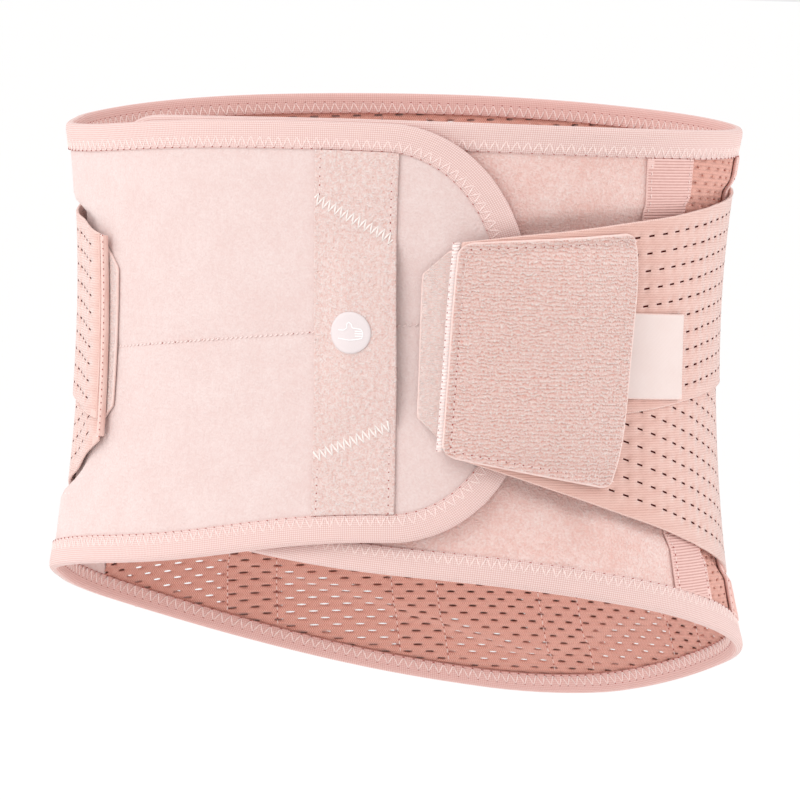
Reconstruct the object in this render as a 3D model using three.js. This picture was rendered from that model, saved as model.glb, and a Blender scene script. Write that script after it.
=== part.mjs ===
// A lumbar support belt, fastened as it is worn round a waist.
// Units are millimetres. The wearer faces -Y, the wearer's left is +X and up is +Z.
// The origin is the middle of the waist.
import * as THREE from 'three';

// The waist that the belt closes round.
const waist_half_width = 136.5;
const waist_front_depth = 92;
const waist_back_depth = 99;
const waist_height = 19.4;
const section_fullness = 2.1;

// How much the body widens one reach above and below the waist.
const flare_reach = 100;
const side_flare_up = 13.2;
const side_flare_down = 5;
const front_flare_up = 1;
const front_flare_down = 8;
const back_flare_up = 0;
const back_flare_down = 14;

// The belt laid flat: its rims above and below the origin, its ends and its side seams.
const back_rim_rise = 107;
const back_rim_drop = 148;
const end_overlap = 108;
const end_top_corner_length = 56;
const end_top_corner_height = 70;
const end_bottom_corner_length = 50;
const end_bottom_corner_height = 55;
const side_seam_place = 173;
const side_seam_lean = 24.5;
const side_seam_lean_height = 180;
const centre_back_shift = -10;

// Cloth walls, in the order in which they lie on each other.
const panel_wall = 2.2;
const binding_wall = 0.6;
const binding_clearance = 0.65;
const tape_wall = 0.9;
const stay_channel_wall = 1.4;
const hook_pad_wall = 1.2;
const band_wall = 1.2;
const patch_wall = 1.2;
const pocket_wall = 1.5;
const label_wall = 1;
const disc_wall = 1;
const layer_gap = 0.3;

// Free room that strips and straps keep from what they run past.
const binding_room = 1.5;
const flap_end_room = 5;
const pad_end_room = 2;
const strap_end_room = 8;
const centre_strip_inset = 1.5;

// Flat sizes of the small pieces.
const binding_face = 10;
const side_tape_width = 23;
const stay_channel_width = 23;
const stay_channel_pitch = 65;
const flap_hook_length = 70;
const flap_hook_height = 112;
const flap_hook_corner = 34;
const flap_hook_inset = 17;
const patch_width = 33;
const patch_place = 43;
const patch_height = 18;
const patch_lean = 5;
const patch_lean_height = 143;
const patch_opening_length = 74;
const finger_room = 6.4;
const patch_rise_share = 0.5;
const disc_radius = 8.3;

// The two straps, each an upper and a lower elastic band.
const strap_end_place = 80;
const strap_end_top = 55;
const strap_end_height = 82;
const strap_end_lean = 3;
const strap_corner = 6;
const upper_band_width = 76;
const upper_band_rise = 36;
const lower_band_width = 79;
const lower_band_fall = 101;
const right_strap_drop = 5;
const hook_pad_reach = 11;
const hook_pad_length = 76;
const hook_pad_inset = 3;
const end_strip_width = 3;
const centre_strip_width = 26;
const pocket_length = 63;
const pocket_flare_up = 4;
const pocket_flare_down = 12;
const pocket_seam = 5;
const pocket_rise_share = 0.55;
const label_length = 26;
const label_height = 34;
const label_middle = 12;
const label_slant = 1;

// Where the stack of layers steps up and down.
const flap_rise_start = 150;
const flap_rise_end = 114;
const strap_settle_place = 150;
const strap_settled_place = 182;

// Facet sizes: the same grid cuts every layer, so that the layers stay parallel.
const girth_facets = 50;
const facet_height = 25;
const corner_steps = 5;
const open_edge_steps = 8;
const pocket_steps = 5;
const disc_sides = 16;
const row_offset = 0.5;
const least_run = 1;
const least_area = 1e-6;
const points_per_mm = 1000;

// How square the lift of the patch and the pocket is between its sewn ends.
const lift_squareness = 4;

// Heights of the rims, from the middle of the back to the ends of the belt laid flat.
// at: share of the half length. The heights are shares of back_rim_rise and back_rim_drop.
// The belt sits a little askew, so its right and left halves differ.
const rim_rows = [
  { at: 0.0, right_top: 1.0, left_top: 1.0, right_bottom: 1.0, left_bottom: 1.0 },
  { at: 0.1, right_top: 1.0, left_top: 0.981, right_bottom: 0.986, left_bottom: 0.936 },
  { at: 0.2, right_top: 0.986, left_top: 0.958, right_bottom: 0.926, left_bottom: 0.831 },
  { at: 0.3, right_top: 0.958, left_top: 0.93, right_bottom: 0.818, left_bottom: 0.729 },
  { at: 0.4, right_top: 0.907, left_top: 0.927, right_bottom: 0.703, left_bottom: 0.617 },
  { at: 0.55, right_top: 0.864, left_top: 0.935, right_bottom: 0.581, left_bottom: 0.527 },
  { at: 0.7, right_top: 0.908, left_top: 0.935, right_bottom: 0.524, left_bottom: 0.5 },
  { at: 0.85, right_top: 0.925, left_top: 0.921, right_bottom: 0.432, left_bottom: 0.446 },
  { at: 1.0, right_top: 0.916, left_top: 0.907, right_bottom: 0.419, left_bottom: 0.419 },
];

// How far each band has climbed or dropped between the strap's end and the middle of the back.
// at: share of the strap's length. The other columns are shares of the whole climb or drop.
const band_rows = [
  { at: 0.0, climb: 0.0, left_drop: 0.0, right_drop: 0.0 },
  { at: 0.1, climb: 0.13, left_drop: 0.11, right_drop: 0.17 },
  { at: 0.4, climb: 0.47, left_drop: 0.41, right_drop: 0.47 },
  { at: 0.8, climb: 0.85, left_drop: 0.8, right_drop: 0.81 },
  { at: 1.0, climb: 1.0, left_drop: 1.0, right_drop: 1.0 },
];

// Colours of the materials.
const fleece_pink = 0xf9dcd8;
const deep_fleece_pink = 0xf6cfca;
const mesh_salmon = 0xe9aaa1;
const band_pink = 0xf3c2ba;
const binding_pink = 0xf6d0ca;
const nap_pink = 0xf0bdb7;
const tape_pink = 0xf3bab5;
const label_pink = 0xf8d9d2;
const hook_pink = 0xf4c6be;
const disc_pink = 0xfdf3f0;

function cloth(color, roughness = 0.95) {
  return new THREE.MeshStandardMaterial({ color, roughness, metalness: 0 });
}

// Shaping helpers.
function easeStep(from, to, place) {
  const share = THREE.MathUtils.clamp((place - from) / (to - from), 0, 1);
  return share * share * (3 - 2 * share);
}

function rowValue(rows, column, at) {
  const last = rows.length - 1;
  const share = THREE.MathUtils.clamp(at, 0, 1);
  let k = 0;
  while (k < last - 1 && share > rows[k + 1].at) {
    k += 1;
  }
  const slopeAt = (i) => {
    const before = rows[Math.max(i - 1, 0)];
    const after = rows[Math.min(i + 1, last)];
    return (after[column] - before[column]) / (after.at - before.at);
  };
  const span = rows[k + 1].at - rows[k].at;
  const t = (share - rows[k].at) / span;
  const startWeight = (1 + 2 * t) * (1 - t) ** 2;
  const startPull = t * (1 - t) ** 2 * span;
  const endPull = t * t * (t - 1) * span;
  const ends = rows[k][column] * startWeight + rows[k + 1][column] * (1 - startWeight);
  return ends + slopeAt(k) * startPull + slopeAt(k + 1) * endPull;
}

// The body's surface. An angle of 0 is the middle of the front, and a quarter turn is the wearer's left.
function bodyPoint(angle, height) {
  const reach = (height - waist_height) / flare_reach;
  const up = reach > 0;
  const bend = reach * reach;
  const side = waist_half_width + bend * (up ? side_flare_up : side_flare_down);
  const front = waist_front_depth + bend * (up ? front_flare_up : front_flare_down);
  const back = waist_back_depth + bend * (up ? back_flare_up : back_flare_down);
  const across = Math.sin(angle);
  const along = Math.cos(angle);
  const power = 2 / section_fullness;
  return new THREE.Vector3(
    side * Math.sign(across) * Math.abs(across) ** power,
    -(along > 0 ? front : back) * Math.sign(along) * Math.abs(along) ** power,
    height,
  );
}

// Girth places are millimetres along the waist from the middle of the front, towards the wearer's left.
const girth_steps = 1440;
const girth_table = [0];
for (let k = 1; k <= girth_steps; k += 1) {
  const here = bodyPoint((Math.PI * k) / girth_steps, waist_height);
  const before = bodyPoint((Math.PI * (k - 1)) / girth_steps, waist_height);
  girth_table.push(girth_table[k - 1] + here.distanceTo(before));
}
const half_girth = girth_table[girth_steps];
const facet_length = (2 * half_girth) / girth_facets;
const half_belt = half_girth + end_overlap;

function angleAt(place) {
  const turns = Math.round(place / (2 * half_girth));
  const local = place - turns * 2 * half_girth;
  const length = Math.abs(local);
  let low = 0;
  let high = girth_steps;
  while (high - low > 1) {
    const middle = (low + high) >> 1;
    if (girth_table[middle] <= length) {
      low = middle;
    } else {
      high = middle;
    }
  }
  const part = (length - girth_table[low]) / (girth_table[high] - girth_table[low]);
  return (Math.sign(local) * Math.PI * (low + part)) / girth_steps;
}

// One crossing of the shared grid: its point on the body and the outward normal there.
const grid_cache = new Map();
function gridCorner(column, row) {
  const wrapped = ((column % girth_facets) + girth_facets) % girth_facets;
  const key = `${wrapped},${row}`;
  if (!grid_cache.has(key)) {
    const angle = angleAt(wrapped * facet_length);
    const height = (row + row_offset) * facet_height;
    const nudge = 0.01;
    const along = bodyPoint(angle + nudge, height).sub(bodyPoint(angle - nudge, height));
    const upward = bodyPoint(angle, height + 1).sub(bodyPoint(angle, height - 1));
    const normal = along.cross(upward).normalize();
    grid_cache.set(key, { point: bodyPoint(angle, height), normal });
  }
  return grid_cache.get(key);
}

// A point that floats the given distance off the facetted body.
function onBody(place, height, off) {
  const u = place / facet_length;
  const v = height / facet_height - row_offset;
  const column = Math.floor(u);
  const row = Math.floor(v);
  const a = u - column;
  const b = v - row;
  const lower = a >= b;
  const corners = [
    [gridCorner(column, row), lower ? 1 - a : 1 - b],
    [lower ? gridCorner(column + 1, row) : gridCorner(column, row + 1), lower ? a - b : b - a],
    [gridCorner(column + 1, row + 1), lower ? b : a],
  ];
  const result = new THREE.Vector3();
  for (const [corner, weight] of corners) {
    result.addScaledVector(corner.point, weight);
    result.addScaledVector(corner.normal, weight * off);
  }
  return result;
}

function closedMesh(name, points, faces, material) {
  const geometry = new THREE.BufferGeometry();
  const values = points.flatMap((p) => [p.x, p.y, p.z]);
  geometry.setAttribute('position', new THREE.Float32BufferAttribute(values, 3));
  geometry.setIndex(faces.flat());
  geometry.computeVertexNormals();
  const mesh = new THREE.Mesh(geometry, material);
  mesh.name = name;
  return mesh;
}

// Keeps the part of a convex polygon that lies on the left of the line from p to q.
function clipLeft(polygon, p, q) {
  const side = (c) => (q[0] - p[0]) * (c[1] - p[1]) - (q[1] - p[1]) * (c[0] - p[0]);
  const kept = [];
  polygon.forEach((here, k) => {
    const next = polygon[(k + 1) % polygon.length];
    const a = side(here);
    const b = side(next);
    if (a >= 0) {
      kept.push(here);
    }
    if (a * b < 0) {
      const t = a / (a - b);
      kept.push([here[0] + (next[0] - here[0]) * t, here[1] + (next[1] - here[1]) * t]);
    }
  });
  return kept;
}

function polygonArea(polygon) {
  let twice = 0;
  polygon.forEach((here, k) => {
    const next = polygon[(k + 1) % polygon.length];
    twice += here[0] * next[1] - next[0] * here[1];
  });
  return twice / 2;
}

// The triangles of an outline, each whole inside a single facet of the shared grid.
function gridPieces(outline) {
  const across = outline.map((p) => p[0] / facet_length);
  const upward = outline.map((p) => p[1] / facet_height - row_offset);
  const pieces = [];
  for (let column = Math.floor(Math.min(...across)); column < Math.max(...across); column += 1) {
    for (let row = Math.floor(Math.min(...upward)); row < Math.max(...upward); row += 1) {
      const left = column * facet_length;
      const right = (column + 1) * facet_length;
      const foot = (row + row_offset) * facet_height;
      const top = foot + facet_height;
      const halves = [
        [[left, foot], [right, foot], [right, top]],
        [[left, foot], [right, top], [left, top]],
      ];
      for (const half of halves) {
        let cut = outline;
        for (let k = 0; k < 3 && cut.length > 2; k += 1) {
          cut = clipLeft(cut, half[k], half[(k + 1) % 3]);
        }
        if (cut.length > 2 && polygonArea(cut) > least_area) {
          const corners = cut.map((p) => new THREE.Vector2(p[0], p[1]));
          for (const ids of THREE.ShapeUtils.triangulateShape(corners, [])) {
            pieces.push(ids.map((id) => cut[id]));
          }
        }
      }
    }
  }
  return pieces;
}

// A cloth wall: the outline wrapped round the body, between an inside and an outside distance.
// The distances are functions of the girth place and the height.
function clothSheet(name, outline, inside, outside, material) {
  const ccw = polygonArea(outline) > 0 ? outline : [...outline].reverse();
  const flat = [];
  const index = new Map();
  const seat = (p) => {
    const key = p.map((value) => Math.round(value * points_per_mm)).join();
    if (!index.has(key)) {
      index.set(key, flat.length);
      flat.push(p);
    }
    return index.get(key);
  };
  const faces = [];
  const open = new Map();
  for (const triangle of gridPieces(ccw)) {
    const ids = triangle.map(seat);
    if (new Set(ids).size === 3) {
      faces.push(ids);
      ids.forEach((a, k) => {
        const b = ids[(k + 1) % 3];
        if (!open.delete(`${b},${a}`)) {
          open.set(`${a},${b}`, [a, b]);
        }
      });
    }
  }
  const count = flat.length;
  const outer = flat.map((p) => onBody(p[0], p[1], outside(p[0], p[1])));
  const inner = flat.map((p) => onBody(p[0], p[1], inside(p[0], p[1])));
  const all = faces.flatMap(([a, b, c]) => [[a, b, c], [a + count, c + count, b + count]]);
  for (const [a, b] of open.values()) {
    all.push([a + count, b + count, b], [a + count, b, a]);
  }
  return closedMesh(name, [...outer, ...inner], all, material);
}

// Outlines are drawn in girth place and height.
function cornerArc(centre, radii, from, to) {
  const points = [];
  for (let k = 0; k <= corner_steps; k += 1) {
    const turn = from + ((to - from) * k) / corner_steps;
    points.push([centre[0] + radii[0] * Math.cos(turn), centre[1] + radii[1] * Math.sin(turn)]);
  }
  return points;
}

function roundedBox(left, right, foot, top, radius) {
  const quarter = Math.PI / 2;
  const radii = [radius, radius];
  return [
    ...cornerArc([left + radius, foot + radius], radii, 2 * quarter, 3 * quarter),
    ...cornerArc([right - radius, foot + radius], radii, 3 * quarter, 4 * quarter),
    ...cornerArc([right - radius, top - radius], radii, 0, quarter),
    ...cornerArc([left + radius, top - radius], radii, quarter, 2 * quarter),
  ];
}

// Belt places run along the belt laid flat from the middle of the back, with the wearer's right positive.
function placeOf(belt) {
  return belt - half_girth;
}

function rimTop(belt) {
  const column = belt > 0 ? 'right_top' : 'left_top';
  return back_rim_rise * rowValue(rim_rows, column, Math.abs(belt) / half_belt);
}

function rimBottom(belt) {
  const column = belt > 0 ? 'right_bottom' : 'left_bottom';
  return -back_rim_drop * rowValue(rim_rows, column, Math.abs(belt) / half_belt);
}

function seamBelt(side, height) {
  return side * (half_girth - side_seam_place + (side_seam_lean * height) / side_seam_lean_height);
}

// The rim points from one belt place to another, at the grid's lines.
function rimRun(rim, from, to) {
  const points = [[from, rim(from)]];
  const first = Math.ceil((from + least_run) / facet_length);
  for (let k = first; k * facet_length < to - least_run; k += 1) {
    points.push([k * facet_length, rim(k * facet_length)]);
  }
  points.push([to, rim(to)]);
  return points;
}

// The rounded end of a front panel, from its lower rim up to its top rim.
function endRun(side) {
  const end = half_belt;
  const bottomStart = end - end_bottom_corner_length;
  const topStart = end - end_top_corner_length;
  const footCentre = rimBottom(side * bottomStart) + end_bottom_corner_height;
  const topCentre = rimTop(side * topStart) - end_top_corner_height;
  const footRadii = [end_bottom_corner_length, end_bottom_corner_height];
  const topRadii = [end_top_corner_length, end_top_corner_height];
  const foot = cornerArc([bottomStart, footCentre], footRadii, -Math.PI / 2, 0);
  const top = cornerArc([topStart, topCentre], topRadii, 0, Math.PI / 2);
  return [...foot, ...top].map((p) => [side * p[0], p[1]]);
}

// The places where the leaning side seam meets the rims.
function seamFoot(side) {
  return seamBelt(side, rimBottom(seamBelt(side, 0)));
}

function seamTop(side) {
  return seamBelt(side, rimTop(seamBelt(side, 0)));
}

function frontOutline(side) {
  const clearance = (side * layer_gap) / 2;
  const end = endRun(side);
  const footStop = Math.abs(end[0][0]);
  const topStop = Math.abs(end[end.length - 1][0]);
  const foot = rimRun((b) => rimBottom(side * b), Math.abs(seamFoot(side) + clearance), footStop);
  const top = rimRun((b) => rimTop(side * b), Math.abs(seamTop(side) + clearance), topStop);
  const mirrored = (run) => run.map((p) => [side * p[0], p[1]]);
  return [...mirrored(foot), ...end.slice(1, -1), ...mirrored(top).reverse()];
}

function backOutline() {
  const clearance = layer_gap / 2;
  const foot = rimRun(rimBottom, seamFoot(-1) + clearance, seamFoot(1) - clearance);
  const top = rimRun(rimTop, seamTop(-1) + clearance, seamTop(1) - clearance);
  return [...foot, ...top.reverse()];
}

function shifted(outline) {
  return outline.map((p) => [placeOf(p[0]), p[1]]);
}

// The outer front panel climbs over the bound edge of the inner one.
const binding_stand = binding_clearance + binding_wall;
const flap_lift = panel_wall + 2 * binding_stand + layer_gap;

function liftAt(belt) {
  return flap_lift * easeStep(half_girth - flap_rise_start, half_girth - flap_rise_end, belt);
}

function panelSheet(name, outline, material) {
  const inside = (place) => liftAt(place + half_girth);
  return clothSheet(name, shifted(outline), inside, (place) => inside(place) + panel_wall, material);
}

// The edge binding is one folded tape that runs all round the belt.
function bindingPath() {
  const rightEnd = endRun(1);
  const leftEnd = endRun(-1);
  const footFrom = leftEnd[0][0];
  const footTo = rightEnd[0][0];
  const topFrom = leftEnd[leftEnd.length - 1][0];
  const topTo = rightEnd[rightEnd.length - 1][0];
  const foot = rimRun(rimBottom, footFrom, footTo);
  const top = rimRun(rimTop, topFrom, topTo);
  return [
    ...foot,
    ...rightEnd.slice(1, -1),
    ...top.reverse(),
    ...leftEnd.slice(1, -1).reverse(),
  ];
}

function edgeBinding(material) {
  const path = bindingPath();
  const section = [
    [binding_face, -binding_stand],
    [-binding_stand, -binding_stand],
    [-binding_stand, panel_wall + binding_stand],
    [binding_face, panel_wall + binding_stand],
    [binding_face, panel_wall + binding_clearance],
    [-binding_clearance, panel_wall + binding_clearance],
    [-binding_clearance, -binding_clearance],
    [binding_face, -binding_clearance],
  ];
  const points = [];
  const faces = [];
  path.forEach((here, k) => {
    const before = path[(k + path.length - 1) % path.length];
    const after = path[(k + 1) % path.length];
    const run = [after[0] - before[0], after[1] - before[1]];
    const length = Math.hypot(run[0], run[1]);
    const inward = [-run[1] / length, run[0] / length];
    for (const [depth, off] of section) {
      const belt = here[0] + inward[0] * depth;
      const height = here[1] + inward[1] * depth;
      points.push(onBody(placeOf(belt), height, off + liftAt(belt)));
    }
    const base = k * section.length;
    const next = ((k + 1) % path.length) * section.length;
    section.forEach((_, i) => {
      const j = (i + 1) % section.length;
      faces.push([base + i, next + i, next + j], [base + i, next + j, base + j]);
    });
  });
  return closedMesh('edge_binding', points, faces, material);
}

// A strip between two heights, with straight sides that may lean.
function leaningStrip(middle, width, lean, foot, top) {
  const half = width / 2;
  const footMiddle = middle + lean * foot;
  const topMiddle = middle + lean * top;
  return [
    [footMiddle - half, foot],
    [footMiddle + half, foot],
    [topMiddle + half, top],
    [topMiddle - half, top],
  ];
}

// The free height between the bindings for a strip whose edges lie at these belt places.
function betweenBindings(edges) {
  const room = binding_face + binding_room;
  return {
    foot: Math.max(...edges.map(rimBottom)) + room,
    top: Math.min(...edges.map(rimTop)) - room,
  };
}

function sideTape(name, side, material) {
  const seat = seamBelt(side, 0);
  const half = side_tape_width / 2;
  const foot = betweenBindings([seamFoot(side) - half, seamFoot(side) + half]).foot;
  const top = betweenBindings([seamTop(side) - half, seamTop(side) + half]).top;
  const lean = (side * side_seam_lean) / side_seam_lean_height;
  const outline = shifted(leaningStrip(seat, side_tape_width, lean, foot, top));
  const inside = panel_wall + layer_gap;
  return clothSheet(name, outline, () => inside, () => inside + tape_wall, material);
}

function stayChannel(name, index, material) {
  const middle = centre_back_shift + index * stay_channel_pitch;
  const left = middle - stay_channel_width / 2;
  const right = middle + stay_channel_width / 2;
  const { foot, top } = betweenBindings([left, middle, right]);
  const outline = shifted(leaningStrip(middle, stay_channel_width, 0, foot, top));
  const inside = panel_wall + layer_gap;
  return clothSheet(name, outline, () => inside, () => inside + stay_channel_wall, material);
}

// The hidden hook panel that holds the outer front panel closed.
function flapHookPanel(material) {
  const right = end_overlap - flap_hook_inset;
  const outline = roundedBox(
    right - flap_hook_length,
    right,
    patch_height - flap_hook_height / 2,
    patch_height + flap_hook_height / 2,
    flap_hook_corner,
  );
  const inside = panel_wall + layer_gap;
  return clothSheet('flap_hook_panel', outline, () => inside, () => flap_lift - layer_gap, material);
}

// The hand patch is stitched down on three sides, and its open side stands off for the fingers.
const flap_face = flap_lift + panel_wall;

function patchLift(place, height) {
  const across = place - patch_place - (patch_lean / patch_lean_height) * (patch_height - height);
  const share = THREE.MathUtils.clamp(across / patch_width + 0.5, 0, 1);
  const along = THREE.MathUtils.clamp((2 * (height - patch_height)) / patch_opening_length, -1, 1);
  return finger_room * easeStep(0, patch_rise_share, share) * (1 - Math.abs(along) ** lift_squareness);
}

function handPatch(material) {
  const nearEdge = half_girth + patch_place - patch_width / 2 - patch_lean;
  const { foot, top } = betweenBindings([nearEdge, nearEdge + patch_width + 2 * patch_lean]);
  const lean = -patch_lean / patch_lean_height;
  const middle = patch_place - lean * patch_height;
  const side = (sign) => {
    const points = [];
    for (let k = 0; k <= open_edge_steps; k += 1) {
      const height = foot + ((top - foot) * k) / open_edge_steps;
      points.push([middle + lean * height + (sign * patch_width) / 2, height]);
    }
    return points;
  };
  const outline = [...side(1), ...side(-1).reverse()];
  const inside = (place, height) => flap_face + layer_gap + patchLift(place, height);
  return clothSheet('hand_patch', outline, inside, (p, h) => inside(p, h) + patch_wall, material);
}

function patchDisc(material) {
  const outline = [];
  for (let k = 0; k < disc_sides; k += 1) {
    const turn = (2 * Math.PI * k) / disc_sides;
    outline.push([patch_place + disc_radius * Math.cos(turn), patch_height + disc_radius * Math.sin(turn)]);
  }
  const seat = flap_face + patch_wall + 2 * layer_gap;
  const inside = (place, height) => seat + patchLift(place, height);
  return clothSheet('patch_disc', outline, inside, (p, h) => inside(p, h) + disc_wall, material);
}

// The straps. Side +1 is the wearer's left, and side -1 the wearer's right.
const back_stack = panel_wall + stay_channel_wall + 2 * layer_gap;

function strapLay(side, distance) {
  const low = back_stack;
  if (side > 0) {
    const high = flap_face + binding_stand + 2 * layer_gap;
    const flapEnd = end_overlap + binding_stand + flap_end_room;
    return high + (low - high) * easeStep(flapEnd, strap_settle_place, distance);
  }
  const high = flap_face + layer_gap;
  return high + (low - high) * easeStep(flap_rise_end, flap_rise_start, distance);
}

function bandLay(side, distance, upper) {
  const padEnd = strap_end_place + hook_pad_length + pad_end_room;
  const padShare = 1 - easeStep(padEnd, strap_settled_place, distance);
  const overPad = (hook_pad_wall + layer_gap) * padShare;
  const overLower = upper ? band_wall + layer_gap : 0;
  return strapLay(side, distance) + overPad + overLower;
}

function strapDrop(side) {
  return side < 0 ? right_strap_drop : 0;
}

function strapEdgePlace(side, height) {
  const share = (strap_end_top - strapDrop(side) - height) / strap_end_height;
  return strap_end_place + end_strip_width + layer_gap - strap_end_lean * share;
}

function bandHeights(side, upper, distance) {
  const stop = half_girth - side * centre_back_shift;
  const share = (distance - strap_end_place) / (stop - strap_end_place);
  const top = strap_end_top - strapDrop(side);
  if (upper) {
    const climb = (upper_band_rise + strapDrop(side)) * rowValue(band_rows, 'climb', share);
    return { foot: top - upper_band_width + climb, top: top + climb };
  }
  const column = side > 0 ? 'left_drop' : 'right_drop';
  const fall = (lower_band_fall - strapDrop(side)) * rowValue(band_rows, column, share);
  return { foot: top - strap_end_height - fall, top: top - strap_end_height - fall + lower_band_width };
}

function bandSheet(name, side, upper, material) {
  const stop = half_girth - side * centre_back_shift - layer_gap;
  const endHeights = bandHeights(side, upper, strap_end_place);
  const start = [
    [strapEdgePlace(side, endHeights.foot), endHeights.foot],
    [strapEdgePlace(side, endHeights.top), endHeights.top],
  ];
  const foot = [start[0]];
  const top = [start[1]];
  const first = Math.ceil((strap_end_place + strap_end_room) / facet_length);
  for (let k = first; k * facet_length < stop - least_run; k += 1) {
    const distance = k * facet_length;
    const heights = bandHeights(side, upper, distance);
    foot.push([distance, heights.foot]);
    top.push([distance, heights.top]);
  }
  const last = bandHeights(side, upper, stop);
  foot.push([stop, last.foot]);
  top.push([stop, last.top]);
  const outline = [...foot, ...top.reverse()].map((p) => [side * p[0], p[1]]);
  const inside = (place) => bandLay(side, Math.abs(place), upper);
  return clothSheet(name, outline, inside, (place) => inside(place) + band_wall, material);
}

function strapEndStrip(name, side, material) {
  const top = strap_end_top - strapDrop(side);
  const foot = top - strap_end_height;
  const outline = [
    [strapEdgePlace(side, foot) - end_strip_width - layer_gap, foot],
    [strapEdgePlace(side, foot) - layer_gap, foot],
    [strapEdgePlace(side, top) - layer_gap, top],
    [strapEdgePlace(side, top) - end_strip_width - layer_gap, top],
  ].map((p) => [side * p[0], p[1]]);
  const inside = (place) => bandLay(side, Math.abs(place), false);
  const wall = 2 * band_wall + layer_gap;
  return clothSheet(name, outline, inside, (place) => inside(place) + wall, material);
}

function hookPad(name, side, material) {
  const start = strap_end_place - hook_pad_reach;
  const top = strap_end_top - strapDrop(side) - hook_pad_inset;
  const foot = top - strap_end_height + 2 * hook_pad_inset;
  const box = roundedBox(start, start + hook_pad_length, foot, top, strap_corner);
  const outline = box.map((p) => [side * p[0], p[1]]);
  const inside = (place) => strapLay(side, Math.abs(place));
  return clothSheet(name, outline, inside, (place) => inside(place) + hook_pad_wall, material);
}

// The pull pocket on the wearer's left strap: stitched on three sides and open towards the back.
function pocketHeights(distance) {
  const share = (distance - strap_end_place) / pocket_length;
  return {
    foot: strap_end_top - strap_end_height - pocket_flare_down * share,
    top: strap_end_top + pocket_flare_up * share,
  };
}

function pocketOutline() {
  const start = strapEdgePlace(1, strap_end_top);
  const edge = strap_end_place + pocket_length;
  const foot = [];
  const top = [];
  for (let k = 0; k <= pocket_steps; k += 1) {
    const distance = start + ((edge - start) * k) / pocket_steps;
    foot.push([distance, pocketHeights(distance).foot]);
    top.push([distance, pocketHeights(distance).top]);
  }
  const ends = pocketHeights(edge);
  const openSide = [];
  for (let k = 1; k < open_edge_steps; k += 1) {
    openSide.push([edge, ends.foot + ((ends.top - ends.foot) * k) / open_edge_steps]);
  }
  return [...foot, ...openSide, ...top.reverse()];
}

function pocketLift(place, height) {
  const heights = pocketHeights(place);
  const middle = (heights.foot + heights.top) / 2;
  const half = (heights.top - heights.foot) / 2 - pocket_seam;
  const along = THREE.MathUtils.clamp((height - middle) / half, -1, 1);
  const start = strap_end_place + pocket_seam;
  const rise = easeStep(start, start + pocket_length * pocket_rise_share, place);
  return finger_room * rise * (1 - Math.abs(along) ** lift_squareness);
}

function bandFace(place) {
  return bandLay(1, place, true) + band_wall + layer_gap;
}

function pullPocket(material) {
  const inside = (place, height) => bandFace(place) + pocketLift(place, height);
  const outside = (place, height) => inside(place, height) + pocket_wall;
  return clothSheet('pull_pocket', pocketOutline(), inside, outside, material);
}

function sideLabel(material) {
  const start = strap_end_place + pocket_length + layer_gap;
  const outline = [
    [start, label_middle - label_height / 2],
    [start + label_length, label_middle - label_height / 2 - label_slant],
    [start + label_length, label_middle + label_height / 2 - label_slant],
    [start, label_middle + label_height / 2],
  ];
  return clothSheet('side_label', outline, bandFace, (place) => bandFace(place) + label_wall, material);
}

// The strip that covers the ends of the four bands at the middle of the back.
function centreStrip(material) {
  const stop = half_girth - centre_back_shift;
  const upper = bandHeights(1, true, stop);
  const lower = bandHeights(1, false, stop);
  const foot = lower.foot + centre_strip_inset;
  const top = upper.top - centre_strip_inset;
  const outline = shifted(leaningStrip(centre_back_shift, centre_strip_width, 0, foot, top));
  const low = back_stack + band_wall + layer_gap;
  const high = low + band_wall + layer_gap;
  const inside = (_, height) => low + (high - low) * easeStep(lower.top, upper.foot - facet_height, height);
  return clothSheet('centre_back_strip', outline, inside, (p, h) => inside(p, h) + tape_wall, material);
}

// The assembly.
const belt = new THREE.Group();
belt.add(panelSheet('back_panel', backOutline(), cloth(mesh_salmon)));
belt.add(panelSheet('inner_front_panel', frontOutline(-1), cloth(deep_fleece_pink)));
belt.add(panelSheet('outer_front_panel', frontOutline(1), cloth(fleece_pink)));
belt.add(edgeBinding(cloth(binding_pink, 0.85)));
belt.add(flapHookPanel(cloth(hook_pink)));
belt.add(handPatch(cloth(nap_pink)));
belt.add(patchDisc(cloth(disc_pink, 0.5)));
belt.add(sideTape('right_side_tape', 1, cloth(tape_pink, 0.8)));
belt.add(sideTape('left_side_tape', -1, cloth(tape_pink, 0.8)));
for (let index = -2; index <= 2; index += 1) {
  belt.add(stayChannel(`stay_channel_${index + 3}`, index, cloth(band_pink)));
}
for (const [word, side] of [['left', 1], ['right', -1]]) {
  belt.add(hookPad(`${word}_hook_pad`, side, cloth(hook_pink)));
  belt.add(bandSheet(`${word}_lower_band`, side, false, cloth(band_pink)));
  belt.add(bandSheet(`${word}_upper_band`, side, true, cloth(band_pink)));
  belt.add(strapEndStrip(`${word}_end_strip`, side, cloth(disc_pink)));
}
belt.add(centreStrip(cloth(tape_pink, 0.8)));
belt.add(pullPocket(cloth(nap_pink)));
belt.add(sideLabel(cloth(label_pink, 0.5)));

export default belt;
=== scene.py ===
import math
import bpy
import numpy as np
from mathutils import Matrix, Vector


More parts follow.
